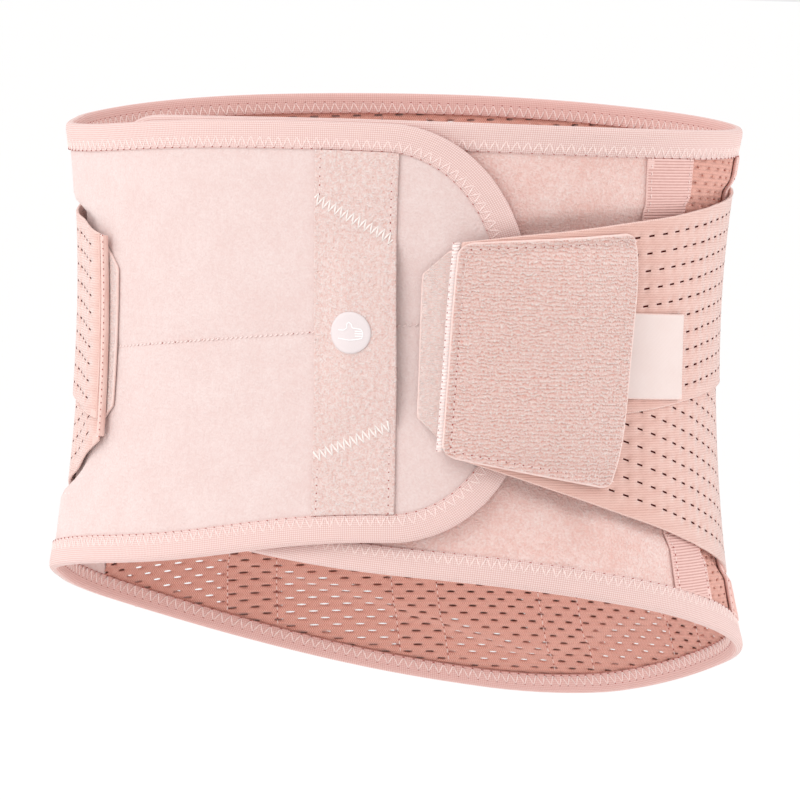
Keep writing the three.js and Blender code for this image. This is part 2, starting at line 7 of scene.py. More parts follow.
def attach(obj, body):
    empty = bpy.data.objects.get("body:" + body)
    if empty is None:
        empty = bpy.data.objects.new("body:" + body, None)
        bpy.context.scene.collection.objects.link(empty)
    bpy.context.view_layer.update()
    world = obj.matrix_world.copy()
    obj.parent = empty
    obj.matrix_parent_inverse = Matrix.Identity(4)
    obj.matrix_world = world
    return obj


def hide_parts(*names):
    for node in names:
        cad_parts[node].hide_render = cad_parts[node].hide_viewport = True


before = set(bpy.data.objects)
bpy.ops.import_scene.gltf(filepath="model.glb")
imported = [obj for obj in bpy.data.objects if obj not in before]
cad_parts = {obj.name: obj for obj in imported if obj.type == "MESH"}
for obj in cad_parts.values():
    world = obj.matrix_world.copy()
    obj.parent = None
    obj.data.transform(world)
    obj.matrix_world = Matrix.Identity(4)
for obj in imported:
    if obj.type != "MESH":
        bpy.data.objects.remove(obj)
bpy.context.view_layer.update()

mm = 0.001

# The studio: a pale floor far below the belt, and a white room. Soft boxes stand at both sides
# of the camera, which looks at the front from the belt's left, a little above it, and leans a
# little. Left and right are the belt's own: left is +X, and the front faces -Y.
camera_azimuth = math.radians(33)
camera_elevation = math.radians(4)
camera_roll = math.radians(1.68)
camera_distance = 2400 * mm
camera_lens = 264.54
aim_right = 3.53 * mm
aim_height = -15.21 * mm
floor_height = -420 * mm
floor_size = 4000.0
floor_colour = (0.96, 0.955, 0.95, 1)
room_strength = 0.84
sun_strength = 0.9


def direction(azimuth, elevation):
    flat = math.cos(elevation)
    return Vector((math.sin(azimuth) * flat, -math.cos(azimuth) * flat, math.sin(elevation)))


def add_object(name, data):
    item = bpy.data.objects.new(name, data)
    bpy.context.scene.collection.objects.link(item)
    return item


def make_camera():
    back = direction(camera_azimuth, camera_elevation)
    right = Vector((math.cos(camera_azimuth), math.sin(camera_azimuth), 0))
    up = back.cross(right)
    across = right * math.cos(camera_roll) + up * math.sin(camera_roll)
    upward = up * math.cos(camera_roll) - right * math.sin(camera_roll)
    aim = right * aim_right + Vector((0, 0, aim_height))
    camera = add_object("camera", bpy.data.cameras.new("camera"))
    camera.data.lens = camera_lens
    camera.data.clip_end = 4 * floor_size
    turn = Matrix((across, upward, back)).transposed()
    camera.matrix_world = Matrix.Translation(aim + back * camera_distance) @ turn.to_4x4()
    bpy.context.scene.camera = camera


def softbox(name, azimuth, elevation, distance, size, watts):
    lamp = bpy.data.lights.new(name, "AREA")
    lamp.shape = "DISK"
    lamp.size = size
    lamp.energy = watts
    box = add_object(name, lamp)
    where = direction(math.radians(azimuth), math.radians(elevation))
    box.location = where * distance
    box.rotation_euler = where.to_track_quat("Z", "Y").to_euler()


def window(azimuth, elevation, spread):
    """One even, very soft light from far away, which also reaches the floor behind the belt."""
    lamp = bpy.data.lights.new("window", "SUN")
    lamp.energy = sun_strength
    lamp.angle = math.radians(spread)
    far = add_object("window", lamp)
    where = direction(math.radians(azimuth), math.radians(elevation))
    far.rotation_euler = where.to_track_quat("Z", "Y").to_euler()


def make_room():
    room = bpy.data.worlds.new("white room")
    room.use_nodes = True
    room.node_tree.nodes["Background"].inputs["Color"].default_value = (1, 1, 1, 1)
    room.node_tree.nodes["Background"].inputs["Strength"].default_value = room_strength
    bpy.context.scene.world = room
    bpy.context.scene.view_settings.view_transform = "Standard"
    half = floor_size / 2
    mesh = bpy.data.meshes.new("floor")
    corners = [(-half, -half), (half, -half), (half, half), (-half, half)]
    mesh.from_pydata([(x, y, floor_height) for x, y in corners], [], [(0, 1, 2, 3)])
    paint = bpy.data.materials.new("pale floor")
    paint.use_nodes = True
    paint.node_tree.nodes["Principled BSDF"].inputs["Base Color"].default_value = floor_colour
    paint.node_tree.nodes["Principled BSDF"].inputs["Roughness"].default_value = 0.9
    mesh.materials.append(paint)
    add_object("floor", mesh)


make_camera()
make_room()
window(-15, 50, 40)
for name, azimuth, elevation, distance, size, watts in (
    ("left softbox", -22, 22, 1.5, 1.1, 3),
    ("far left softbox", -75, 15, 1.4, 0.9, 3),
    ("right softbox", 118, 18, 1.3, 0.8, 5),
):
    softbox(name, azimuth, elevation, distance, size, watts)

# Back panel: an open mesh knit with staggered slots, one curved wall from side seam to side seam.
# It is cut from a roll whose rows run a little askew, and sewn to the front panels at the sides.
# Every piece is made flat, as it is cut, and then takes the oval form of the fastened belt.
waist_half_width = 136.5 * mm
waist_front_depth = 92 * mm
waist_back_depth = 99 * mm
waist_height = 19.4 * mm
section_fullness = 2.1
flare_reach = 100 * mm
side_flare_up = 13.2 * mm
side_flare_down = 5 * mm
front_flare_up = 1 * mm
front_flare_down = 8 * mm
back_flare_up = 0.0
back_flare_down = 14 * mm
back_rim_rise = 107 * mm
back_rim_drop = 148 * mm
end_overlap = 108 * mm
side_seam_place = 173 * mm
side_seam_slope = 24.5 / 180
centre_back_shift = -10 * mm
panel_wall = 2.2 * mm
layer_gap = 0.3 * mm
knit_pitch = 8.8 * mm
knit_row = 3.1 * mm
knit_slot = 3.3 * mm
knit_slot_height = 1.05 * mm
knit_wall = 1.1 * mm
knit_tilt = -0.06
knit_stand = 0.6 * mm
knit_rows = 60
knit_columns = 26
knit_rim_inset = 2 * mm
seam_cover = 4 * mm
rim_stretch = 30 * mm
rim_tries = 9

# Heights of the rims from the middle of the back (at 0) to the ends of the belt laid flat (at 1),
# as shares of the back's rise and drop.
rim_at = [0.0, 0.1, 0.2, 0.3, 0.4, 0.55, 0.7, 0.85, 1.0]
right_top = [1.0, 1.0, 0.986, 0.958, 0.907, 0.864, 0.908, 0.925, 0.916]
left_top = [1.0, 0.981, 0.958, 0.93, 0.927, 0.935, 0.935, 0.921, 0.907]
right_bottom = [1.0, 0.986, 0.926, 0.818, 0.703, 0.581, 0.524, 0.432, 0.419]
left_bottom = [1.0, 0.936, 0.831, 0.729, 0.617, 0.527, 0.5, 0.446, 0.419]


def ease_step(start, end, value):
    share = np.clip((value - start) / (end - start), 0, 1)
    return share * share * (3 - 2 * share)


def row_value(at, column, value):
    at = np.array(at)
    column = np.array(column)
    share = np.clip(value, 0, 1)
    slopes = np.gradient(column)
    spans = np.gradient(at)
    slope = slopes / spans
    k = np.clip(np.searchsorted(at, share, side="left") - 1, 0, len(at) - 2)
    span = at[k + 1] - at[k]
    t = (share - at[k]) / span
    weight = (1 + 2 * t) * (1 - t) ** 2
    ends = column[k] * weight + column[k + 1] * (1 - weight)
    return ends + slope[k] * t * (1 - t) ** 2 * span + slope[k + 1] * t * t * (t - 1) * span


def body_point(angle, height):
    reach = (height - waist_height) / flare_reach
    bend = reach * reach
    side = waist_half_width + bend * np.where(reach > 0, side_flare_up, side_flare_down)
    front = waist_front_depth + bend * np.where(reach > 0, front_flare_up, front_flare_down)
    back = waist_back_depth + bend * np.where(reach > 0, back_flare_up, back_flare_down)
    across = np.sin(angle)
    along = np.cos(angle)
    power = 2 / section_fullness
    x = side * np.sign(across) * np.abs(across) ** power
    y = -np.where(along > 0, front, back) * np.sign(along) * np.abs(along) ** power
    return np.stack([x, y, height], axis=-1)


# Girth places run along the waist from the middle of the front, towards the left.
girth_angles = np.linspace(0, math.pi, 1441)
girth_points = body_point(girth_angles, np.full(girth_angles.shape, waist_height))
girth_steps = np.linalg.norm(np.diff(girth_points, axis=0), axis=1)
girth_table = np.concatenate([[0], np.cumsum(girth_steps)])
half_girth = girth_table[-1]
half_belt = half_girth + end_overlap


def on_body(place, height, off):
    local = place - np.round(place / (2 * half_girth)) * 2 * half_girth
    angle = np.sign(local) * np.interp(np.abs(local), girth_table, girth_angles)
    nudge = 0.01
    along = body_point(angle + nudge, height) - body_point(angle - nudge, height)
    upward = body_point(angle, height + mm) - body_point(angle, height - mm)
    normal = np.cross(along, upward)
    normal /= np.linalg.norm(normal, axis=-1, keepdims=True)
    return body_point(angle, height) + normal * off[:, None]


def rim_share(belt, right, left):
    """The rim's share at a belt place, averaged over a short stretch, as scissors round a cut."""
    near = np.asarray(belt)[..., None] + np.linspace(-rim_stretch, rim_stretch, rim_tries)
    share = np.abs(near) / half_belt
    shares = np.where(near > 0, row_value(rim_at, right, share), row_value(rim_at, left, share))
    return shares.mean(axis=-1)


def rim_top(belt):
    return back_rim_rise * rim_share(belt, right_top, left_top)


def rim_bottom(belt):
    return -back_rim_drop * rim_share(belt, right_bottom, left_bottom)


def seam_belt(side, height):
    return side * (half_girth - side_seam_place + side_seam_slope * height)


# The straps are pulled tight, so they squeeze the belt under them, most of all over the flap.
# Their heights are needed here: the bands run from the strap's end, at a distance from the middle
# of the front, to the middle of the back, and rise or fall by these shares on the way.
strap_end_place = 80 * mm
strap_end_top = 55 * mm
strap_end_height = 82 * mm
upper_band_width = 76 * mm
upper_band_rise = 36 * mm
lower_band_width = 79 * mm
lower_band_fall = 101 * mm
right_strap_drop = 5 * mm
band_at = [0.0, 0.1, 0.4, 0.8, 1.0]
band_climb = [0.0, 0.13, 0.47, 0.85, 1.0]
left_drop = [0.0, 0.11, 0.41, 0.8, 1.0]
right_drop = [0.0, 0.17, 0.47, 0.81, 1.0]
strap_squeeze = 2.5 * mm
flap_squeeze = 2.5 * mm
squeeze_fade = 7 * mm
side_blend = 20 * mm
grip_start = 84 * mm
grip_full = 112 * mm
flap_grip_full = 150 * mm
flap_grip_end = 230 * mm
hip_flare = 3 * mm
hip_start = 60 * mm
hip_full = 150 * mm
hip_wane = 260 * mm
hip_end = 350 * mm
hip_depth_start = 75 * mm
hip_depth_full = 130 * mm


def strap_drop(side):
    return right_strap_drop if side < 0 else 0.0


def band_heights(side, upper, distance):
    stop = half_girth - side * centre_back_shift
    share = (distance - strap_end_place) / (stop - strap_end_place)
    top = strap_end_top - strap_drop(side)
    if upper:
        climb = (upper_band_rise + strap_drop(side)) * row_value(band_at, band_climb, share)
        return top - upper_band_width + climb, top + climb
    drop = left_drop if side > 0 else right_drop
    fall = (lower_band_fall - strap_drop(side)) * row_value(band_at, drop, share)
    foot = top - strap_end_height - fall
    return foot, foot + lower_band_width


def squeeze(place, height):
    """How far the pulled straps draw the belt in, less the flare of the lower rim over the hip."""
    local = place - np.round(place / (2 * half_girth)) * 2 * half_girth
    distance = np.abs(local)
    left = 0.5 + 0.5 * np.sign(local) * ease_step(0, side_blend, half_girth - distance)
    right = 1 - left
    top = left * band_heights(1, True, distance)[1] + right * band_heights(-1, True, distance)[1]
    foot = left * band_heights(1, False, distance)[0] + right * band_heights(-1, False, distance)[0]
    held = 1 - ease_step(0, squeeze_fade, np.maximum(height - top, foot - height))
    grip = ease_step(grip_start, grip_full, distance)
    over_flap = right * (1 - ease_step(flap_grip_full, flap_grip_end, distance))
    hip = ease_step(hip_start, hip_full, local) * (1 - ease_step(hip_wane, hip_end, local))
    flare = hip_flare * hip * ease_step(hip_depth_start, hip_depth_full, -height)
    return (strap_squeeze + flap_squeeze * over_flap) * held * grip - flare


def wear(piece, seat):
    """Wraps a flat piece round the body: seat gives the place, height and distance of flat x and y."""
    mesh = piece.data
    flat = np.empty(3 * len(mesh.vertices))
    mesh.vertices.foreach_get("co", flat)
    flat = flat.reshape(-1, 3)
    place, height, low = seat(flat[:, 0], flat[:, 1])
    if "cloth" not in mesh.uv_layers:
        corners = np.empty(len(mesh.loops), dtype=np.int32)
        mesh.loops.foreach_get("vertex_index", corners)
        cloth = mesh.uv_layers.new(name="cloth")
        cloth.data.foreach_set("uv", flat[corners, :2].ravel())
    worn = on_body(place, height, low + flat[:, 2] - squeeze(place, height))
    mesh.vertices.foreach_set("co", worn.ravel())
    mesh.update()
    return piece


def new_tree(name, sizes):
    """A Geometry Nodes tree with a geometry input, named size inputs and a material input."""
    tree = bpy.data.node_groups.new(name, "GeometryNodeTree")
    tree.interface.new_socket("Geometry", in_out="INPUT", socket_type="NodeSocketGeometry")
    for size in sizes:
        tree.interface.new_socket(size, in_out="INPUT", socket_type="NodeSocketFloat")
    tree.interface.new_socket("Material", in_out="INPUT", socket_type="NodeSocketMaterial")
    tree.interface.new_socket("Geometry", in_out="OUTPUT", socket_type="NodeSocketGeometry")
    given = tree.nodes.new("NodeGroupInput").outputs
    return tree, given


def put(tree, kind, sockets=None, **settings):
    """Adds a node: sockets maps its inputs to values or to other nodes' outputs."""
    node = tree.nodes.new(kind)
    for name, value in settings.items():
        setattr(node, name, value)
    for name, value in (sockets or {}).items():
        if isinstance(value, bpy.types.NodeSocket):
            tree.links.new(value, node.inputs[name])
        else:
            node.inputs[name].default_value = value
    return node


def calc(tree, operation, a, b=0.0):
    return put(tree, "ShaderNodeMath", {0: a, 1: b}, operation=operation).outputs[0]


def close_tree(tree, geometry, material):
    whole = put(tree, "GeometryNodeRealizeInstances", {"Geometry": geometry})
    dressed = put(tree, "GeometryNodeSetMaterial", {"Geometry": whole.outputs[0], "Material": material})
    out = tree.nodes.new("NodeGroupOutput")
    tree.links.new(dressed.outputs[0], out.inputs[0])
    return tree


def grow(piece, tree, material, sizes):
    """Runs a tree on a piece and keeps the result as its plain mesh."""
    growth = piece.modifiers.new(tree.name, "NODES")
    growth.node_group = tree
    for item in tree.interface.items_tree:
        if item.in_out == "INPUT" and item.name in sizes:
            growth[item.identifier] = sizes[item.name]
        if item.in_out == "INPUT" and item.name == "Material":
            growth[item.identifier] = material
    grown = bpy.data.meshes.new_from_object(piece.evaluated_get(bpy.context.evaluated_depsgraph_get()))
    piece.modifiers.remove(growth)
    piece.data = grown
    if material.name not in [m.name for m in grown.materials if m]:
        grown.materials.append(material)
    return piece


def perforated_cloth():
    """A knit of six-sided cells, each a ring round a slot, on the points of the flat piece."""
    tree, given = new_tree("perforated cloth", ["Pitch", "Row", "Slot", "Slot height", "Wall"])
    disc = put(tree, "GeometryNodeMeshCircle", {"Vertices": 6, "Radius": 1.0}, fill_type="NGON")
    where = put(tree, "ShaderNodeSeparateXYZ", {0: put(tree, "GeometryNodeInputPosition").outputs[0]})
    widen = calc(tree, "MULTIPLY", given["Pitch"], -0.5 / math.cos(math.radians(30)))
    x = calc(tree, "MULTIPLY", where.outputs["Y"], widen)
    wide = calc(tree, "MULTIPLY", where.outputs["X"], 2.0)
    square = calc(tree, "MINIMUM", calc(tree, "MAXIMUM", wide, -1.0), 1.0)
    y = calc(tree, "MULTIPLY", square, calc(tree, "MULTIPLY", given["Row"], 0.5))
    corner = put(tree, "ShaderNodeCombineXYZ", {"X": x, "Y": y})
    cell = put(tree, "GeometryNodeSetPosition", {"Geometry": disc.outputs[0], "Position": corner.outputs[0]})
    inset = put(
        tree,
        "GeometryNodeExtrudeMesh",
        {"Mesh": cell.outputs[0], "Offset Scale": 0.0, "Individual": True},
        mode="FACES",
    )
    ring = put(tree, "ShaderNodeSeparateXYZ", {0: put(tree, "GeometryNodeInputPosition").outputs[0]})
    half_pitch = calc(tree, "MULTIPLY", given["Pitch"], 0.5)
    out = calc(tree, "DIVIDE", calc(tree, "ABSOLUTE", ring.outputs["X"]), half_pitch)
    pinch = calc(tree, "SUBTRACT", 1.0, calc(tree, "MULTIPLY", out, 0.32))
    hole_x = calc(tree, "MULTIPLY", ring.outputs["X"], calc(tree, "DIVIDE", given["Slot"], given["Pitch"]))
    tall = calc(tree, "DIVIDE", given["Slot height"], given["Row"])
    hole_y = calc(tree, "MULTIPLY", calc(tree, "MULTIPLY", ring.outputs["Y"], tall), pinch)
    hole = put(tree, "ShaderNodeCombineXYZ", {"X": hole_x, "Y": hole_y})
    shrunk = put(
        tree,
        "GeometryNodeSetPosition",
        {
            "Geometry": inset.outputs["Mesh"],
            "Selection": inset.outputs["Top"],
            "Position": hole.outputs[0],
        },
    )
    open_cell = put(
        tree,
        "GeometryNodeDeleteGeometry",
        {"Geometry": shrunk.outputs[0], "Selection": inset.outputs["Top"]},
        domain="FACE",
    )
    cells = put(
        tree,
        "GeometryNodeInstanceOnPoints",
        {"Points": given["Geometry"], "Instance": open_cell.outputs[0]},
    )
    real = put(tree, "GeometryNodeRealizeInstances", {"Geometry": cells.outputs[0]})
    face = put(tree, "GeometryNodeMergeByDistance", {"Geometry": real.outputs[0], "Distance": 0.0001})
    lift = put(tree, "ShaderNodeCombineXYZ", {"Z": given["Wall"]})
    raised = put(
        tree,
        "GeometryNodeExtrudeMesh",
        {"Mesh": face.outputs[0], "Offset": lift.outputs[0], "Individual": False},
        mode="FACES",
    )
    under = put(tree, "GeometryNodeFlipFaces", {"Mesh": face.outputs[0]})
    both = put(tree, "GeometryNodeJoinGeometry", {"Geometry": raised.outputs["Mesh"]})
    tree.links.new(under.outputs[0], both.inputs[0])
    closed = put(tree, "GeometryNodeMergeByDistance", {"Geometry": both.outputs[0], "Distance": 0.0001})
    return close_tree(tree, closed.outputs[0], given["Material"])


def new_piece(name, points, edges=(), faces=()):
    """A smooth shaded piece from points, with their edges or their faces."""
    mesh = bpy.data.meshes.new(name)
    mesh.from_pydata(points, edges, faces)
    mesh.polygons.foreach_set("use_smooth", [True] * len(faces))
    return add_object(name, mesh)


def cloth_material(name, light, deep, roughness, sheen, pattern, bump, shine=0.2):
    """A cloth finish: pattern gives a height from 0 to 1, which colours the cloth and raises it. The low places
    take the deep colour, partly the yarn's own tone and partly painted shade in the weave's hollows.
    """
    finish = bpy.data.materials.new(name)
    finish.use_nodes = True
    tree = finish.node_tree
    shader = tree.nodes["Principled BSDF"]
    shader.inputs["Roughness"].default_value = roughness
    shader.inputs["Sheen Weight"].default_value = sheen
    shader.inputs["Sheen Roughness"].default_value = 0.5
    shader.inputs["Specular IOR Level"].default_value = shine
    cloth = put(tree, "ShaderNodeUVMap", uv_map="cloth").outputs[0]
    scaled = put(tree, "ShaderNodeVectorMath", {0: cloth, 1: (1000, 1000, 1000)}, operation="MULTIPLY")
    height = pattern(tree, scaled.outputs[0])
    colours = {"Factor": height, 6: deep + (1,), 7: light + (1,)}
    tone = put(tree, "ShaderNodeMix", colours, data_type="RGBA")
    tree.links.new(tone.outputs[2], shader.inputs["Base Color"])
    relief = put(tree, "ShaderNodeBump", {"Strength": 1.0, "Distance": bump * mm, "Height": height})
    tree.links.new(relief.outputs[0], shader.inputs["Normal"])
    return finish


def noise(tree, cloth, scale, detail=2.0, stretch=(1, 1, 1)):
    spread = put(tree, "ShaderNodeVectorMath", {0: cloth, 1: stretch}, operation="MULTIPLY")
    field = put(
        tree,
        "ShaderNodeTexNoise",
        {"Vector": spread.outputs[0], "Scale": scale, "Detail": detail, "Roughness": 0.6},
        noise_dimensions="2D",
    )
    return field.outputs[0]


def wave(tree, value, pitch):
    """A ridge from 0 to 1 and back over each pitch."""
    turn = calc(tree, "MULTIPLY", value, math.pi / pitch)
    return calc(tree, "ABSOLUTE", calc(tree, "SINE", turn))


def weighted(tree, *parts):
    """The sum of several patterns, each times its weight."""
    products = [calc(tree, "MULTIPLY", pattern, weight) for pattern, weight in parts]
    total = products[0]
    for product in products[1:]:
        total = calc(tree, "ADD", total, product)
    return total


def knit_pattern(tree, cloth):
    where = put(tree, "ShaderNodeSeparateXYZ", {0: cloth})
    zigzag = calc(tree, "MULTIPLY", wave(tree, where.outputs["Y"], 1.5), 0.7)
    ribs = wave(tree, calc(tree, "ADD", where.outputs["X"], zigzag), 0.85)
    rough = noise(tree, cloth, 0.9, 3.0)
    return weighted(tree, (ribs, 0.75), (rough, 0.3))


knit_light = (0.95, 0.54, 0.44)
knit_deep = (0.56, 0.13, 0.09)
knit_finish = cloth_material("mesh knit", knit_light, knit_deep, 0.9, 0.25, knit_pattern, 0.35)


def keep(piece, nodes=()):
    """Attaches a finished piece to the root, and hides the model's parts that it stands for."""
    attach(piece, "root")
    if nodes:
        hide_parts(*nodes)


def back_points():
    """The middles of the knit's cells, from seam to seam and from rim to rim."""
    points = []
    for row in range(-knit_rows, knit_rows):
        stagger = 0.5 * knit_pitch * (row % 2)
        for column in range(-knit_columns, knit_columns + 1):
            x = column * knit_pitch + stagger
            y = row * knit_row + knit_tilt * x
            belt = np.array([x])
            inside = seam_belt(-1, y) - seam_cover < x < seam_belt(1, y) + seam_cover
            low = rim_bottom(belt)[0] + knit_rim_inset
            high = rim_top(belt)[0] - knit_rim_inset
            if inside and low < y < high:
                points.append((x, row * knit_row, 0.0))
    return points


back_mesh = new_piece("back_mesh", back_points())
knit_sizes = {
    "Pitch": knit_pitch,
    "Row": knit_row,
    "Slot": knit_slot,
    "Slot height": knit_slot_height,
    "Wall": knit_wall,
}
grow(back_mesh, perforated_cloth(), knit_finish, knit_sizes)
wear(back_mesh, lambda x, y: (x - half_girth, y + knit_tilt * x, 0 * x + knit_stand))
for polygon in back_mesh.data.polygons:
    polygon.use_smooth = True
keep(back_mesh, ["back_panel"])


# Front panels: brushed loop fleece, soft and matt, which the hook pads grip anywhere.
# The left panel lies inside, and the right one laps over it as the flap.
end_top_corner_length = 56 * mm
end_top_corner_height = 70 * mm
end_bottom_corner_length = 50 * mm
end_bottom_corner_height = 55 * mm
binding_clearance = 0.65 * mm
binding_wall = 0.6 * mm
binding_stand = binding_clearance + binding_wall
flap_lift = panel_wall + 2 * binding_stand + layer_gap
flap_rise_start = 150 * mm
flap_rise_end = 114 * mm
panel_height = 180 * mm
panel_step = 2.6 * mm
panel_rim = 1.2 * mm
panel_corner_steps = 30
panel_flat_zone = 22 * mm
seam_groove = 0.45 * mm
seam_groove_width = 1.6 * mm
seam_height = 14 * mm
seam_rise = 0.12
seam_from = -76 * mm
seam_to = 74 * mm
seam_fade_start = -105 * mm
seam_fade_end = -80 * mm
pull_place = 127.24 * mm
pull_height = -58 * mm
pull_lean = 0.12
pull_width = 5 * mm
pull_reach = 20 * mm
pull_depth = 2 * mm
swell_shift = 12 * mm
swell_rise = 2 * mm
swell_width = 7 * mm
swell_stand = 0.8 * mm


def lines(start, stop, step, rim):
    """Grid lines from start to stop, closer together at the rounded rims."""
    near = np.array([0.0, 0.12, 0.4]) * rim
    count = max(2, round((stop - start - 2 * rim) / step) + 1)
    inner = np.linspace(start + rim, stop - rim, count)
    return np.concatenate([start + near, inner, stop - near[::-1]])


def quads(ids, turned=False):
    order = (3, 2, 1, 0) if turned else (0, 1, 2, 3)
    corners = [ids[:-1, :-1], ids[1:, :-1], ids[1:, 1:], ids[:-1, 1:]]
    return np.stack([corners[k] for k in order], axis=-1)


def flat_sheet(name, xs, ys, wall, rim, shape, cloths, trim=0.0, pits=None):
    """A closed flat wall with rounded rims.

    shape gives the final x, y and added height of each grid point. The first of cloths covers
    the wall, the second a trim along its rims, and the third the pits, which are grid cells
    sunk into its face.
    """
    x, y = np.meshgrid(xs, ys, indexing="ij")
    edge = np.minimum.reduce([x - xs[0], xs[-1] - x, y - ys[0], ys[-1] - y])
    swell = np.sqrt(1 - (1 - np.clip(edge / rim, 0, 1)) ** 2)
    x, y, relief = shape(x, y)
    top = wall * (0.5 + 0.5 * swell) + relief * swell
    low = wall * (0.5 - 0.5 * swell) + relief * swell
    inside = np.zeros(x.shape, dtype=bool)
    inside[1:-1, 1:-1] = True
    upper_ids = np.arange(x.size).reshape(x.shape)
    lower_ids = upper_ids.copy()
    lower_ids[inside] = x.size + np.arange(inside.sum())
    points = [np.stack([x, y, top], axis=-1).reshape(-1, 3), np.stack([x, y, low], axis=-1)[inside]]
    upper = quads(upper_ids)
    flush = np.ones(upper.shape[:2], dtype=bool) if pits is None else ~pits
    cells = (edge[:-1, :-1] + edge[1:, 1:]) / 2
    faces = [upper[flush], quads(lower_ids, True).reshape(-1, 4)]
    kinds = [np.where(cells < trim, 1, 0)[flush], np.where(cells < trim, 1, 0).ravel()]
    if pits is not None:
        rims = upper[pits]
        floor = points[0][rims] - [0, 0, wall * 0.6]
        seats = x.size + inside.sum() + np.arange(rims.size).reshape(-1, 4)
        points.append(floor.reshape(-1, 3))
        faces.append(seats)
        kinds.append(np.full(len(seats), 2))
        for k in range(4):
            j = (k + 1) % 4
            faces.append(np.stack([rims[:, k], rims[:, j], seats[:, j], seats[:, k]], axis=-1))
            kinds.append(np.full(len(seats), 2))
    piece = new_piece(name, np.concatenate(points).tolist(), [], np.concatenate(faces).tolist())
    for cloth in cloths:
        piece.data.materials.append(cloth)
    piece.data.polygons.foreach_set("material_index", np.concatenate(kinds).astype(np.int32))
    return piece


def lift_at(belt):
    return flap_lift * ease_step(half_girth - flap_rise_start, half_girth - flap_rise_end, belt)


def belt_seat(x, y):
    """The seat of flat pieces that follow the whole belt, with the flap's end lifted."""
    return x - half_girth, y, lift_at(x)


def clipped(tree, value, less):
    """The value less a threshold, kept between 0 and 1."""
    above = calc(tree, "MAXIMUM", calc(tree, "SUBTRACT", value, less), 0.0)
    return calc(tree, "MINIMUM", above, 1.0)


def fleece_pattern(tree, cloth):
    fine = noise(tree, cloth, 1.15, 3.0)
    tufts = noise(tree, cloth, 0.42, 2.0)
    cloudy = noise(tree, cloth, 0.06, 2.0)
    return clipped(tree, weighted(tree, (fine, 1.1), (tufts, 0.7), (cloudy, 0.6)), 0.9)


flap_light = (0.805, 0.675, 0.65)
flap_deep = (0.72, 0.54, 0.51)
flap_fleece = cloth_material("flap fleece", flap_light, flap_deep, 1.0, 0.3, fleece_pattern, 0.28)
inner_light = (0.95, 0.80, 0.765)
inner_deep = (0.80, 0.485, 0.43)
inner_fleece = cloth_material("inner fleece", inner_light, inner_deep, 1.0, 0.3, fleece_pattern, 0.6)


def panel_edges(side, belt):
    """The lower and upper outline of a front panel, with its rounded end."""
    reach = np.abs(belt)
    foot = rim_bottom(side * reach)
    top = rim_top(side * reach)
    foot_start = half_belt - end_bottom_corner_length
    top_start = half_belt - end_top_corner_length
    foot_turn = np.clip((reach - foot_start) / end_bottom_corner_length, 0, 1)
    top_turn = np.clip((reach - top_start) / end_top_corner_length, 0, 1)
    foot_rise = end_bottom_corner_height * (1 - np.sqrt(1 - foot_turn ** 2))
    top_fall = end_top_corner_height * (1 - np.sqrt(1 - top_turn ** 2))
    foot_arc = rim_bottom(np.array(side * foot_start)) + foot_rise
    top_arc = rim_top(np.array(side * top_start)) - top_fall
    foot = np.where(foot_turn > 0, foot_arc, foot)
    top = np.where(top_turn > 0, top_arc, top)
    return foot, top


def panel_lines():
    """Belt places from the side seam to the rounded end, closer together where the end turns."""
    corner = max(end_top_corner_length, end_bottom_corner_length)
    seam = half_girth - side_seam_place
    run = np.arange(seam, half_belt - corner, panel_step)
    turn = half_belt - corner * (1 - np.sin(np.linspace(0, math.pi / 2, panel_corner_steps)))
    return np.concatenate([run, turn])


def soft_waves(x, y):
    """The slight unevenness of worn cloth."""
    slow = np.sin(31 * x + 17 * y + 0.7) * np.sin(23 * y - 19 * x + 1.9)
    quick = np.sin(83 * x - 47 * y + 2.1) * np.sin(71 * y + 39 * x + 0.4)
    return 0.2 * mm * slow + 0.08 * mm * quick


def front_panel(name, side, dents, material):
    reach = panel_lines()
    xs = reach if side > 0 else -reach[::-1]
    ys = lines(0, panel_height, panel_step, panel_rim)

    def shape(x, y):
        foot, top = panel_edges(side, x)
        height = foot + (top - foot) * y / panel_height
        toward_seam = (half_belt - np.abs(x)) / (half_belt - half_girth + side_seam_place)
        place = x + side * side_seam_slope * height * toward_seam
        inward = ease_step(0, panel_flat_zone, np.minimum(height - foot, top - height))
        return place, height, (soft_waves(place, height) + dents(place, height)) * inward

    return flat_sheet(name, xs, ys, panel_wall, panel_rim, shape, [material])


def flap_dents(x, y):
    girth = x - half_girth
    seam = seam_height + seam_rise * girth
    line = np.exp(-(((y - seam) / seam_groove_width) ** 2))
    return -seam_groove * line * ease_step(seam_fade_start, seam_fade_end, girth)


def inner_dents(x, y):
    """A soft fold under the strap's lower edge, with a swell behind it."""
    up = y - pull_height
    bend = x + half_girth - pull_place - pull_lean * up
    pull = np.exp(-((bend / pull_width) ** 2 + (up / pull_reach) ** 2))
    swell = np.exp(-(((bend - swell_shift) / swell_width) ** 2 + ((up - swell_rise) / pull_reach) ** 2))
    return swell_stand * swell - pull_depth * pull


flap = front_panel("flap_panel", 1, flap_dents, flap_fleece)
wear(flap, belt_seat)
keep(flap, ["outer_front_panel"])

inner = front_panel("inner_panel", -1, inner_dents, inner_fleece)
wear(inner, lambda x, y: (x - half_girth, y, 0 * x))
keep(inner, ["inner_front_panel"])

# Stitching: every seam is a lockstitch or a zigzag in pale thread, whose needle holes are dark grains of painted
# shade.
# The threads lie on the cloth, so their trees work on flat lines that are worn with it.
seam_thread_sink = 0.12 * mm
seam_hole_sink = 0.2 * mm
seam_steps = 90


def speckle(scale, detail=2.0):
    """A plain pattern of fine specks."""
    return lambda tree, cloth: noise(tree, cloth, scale, detail)


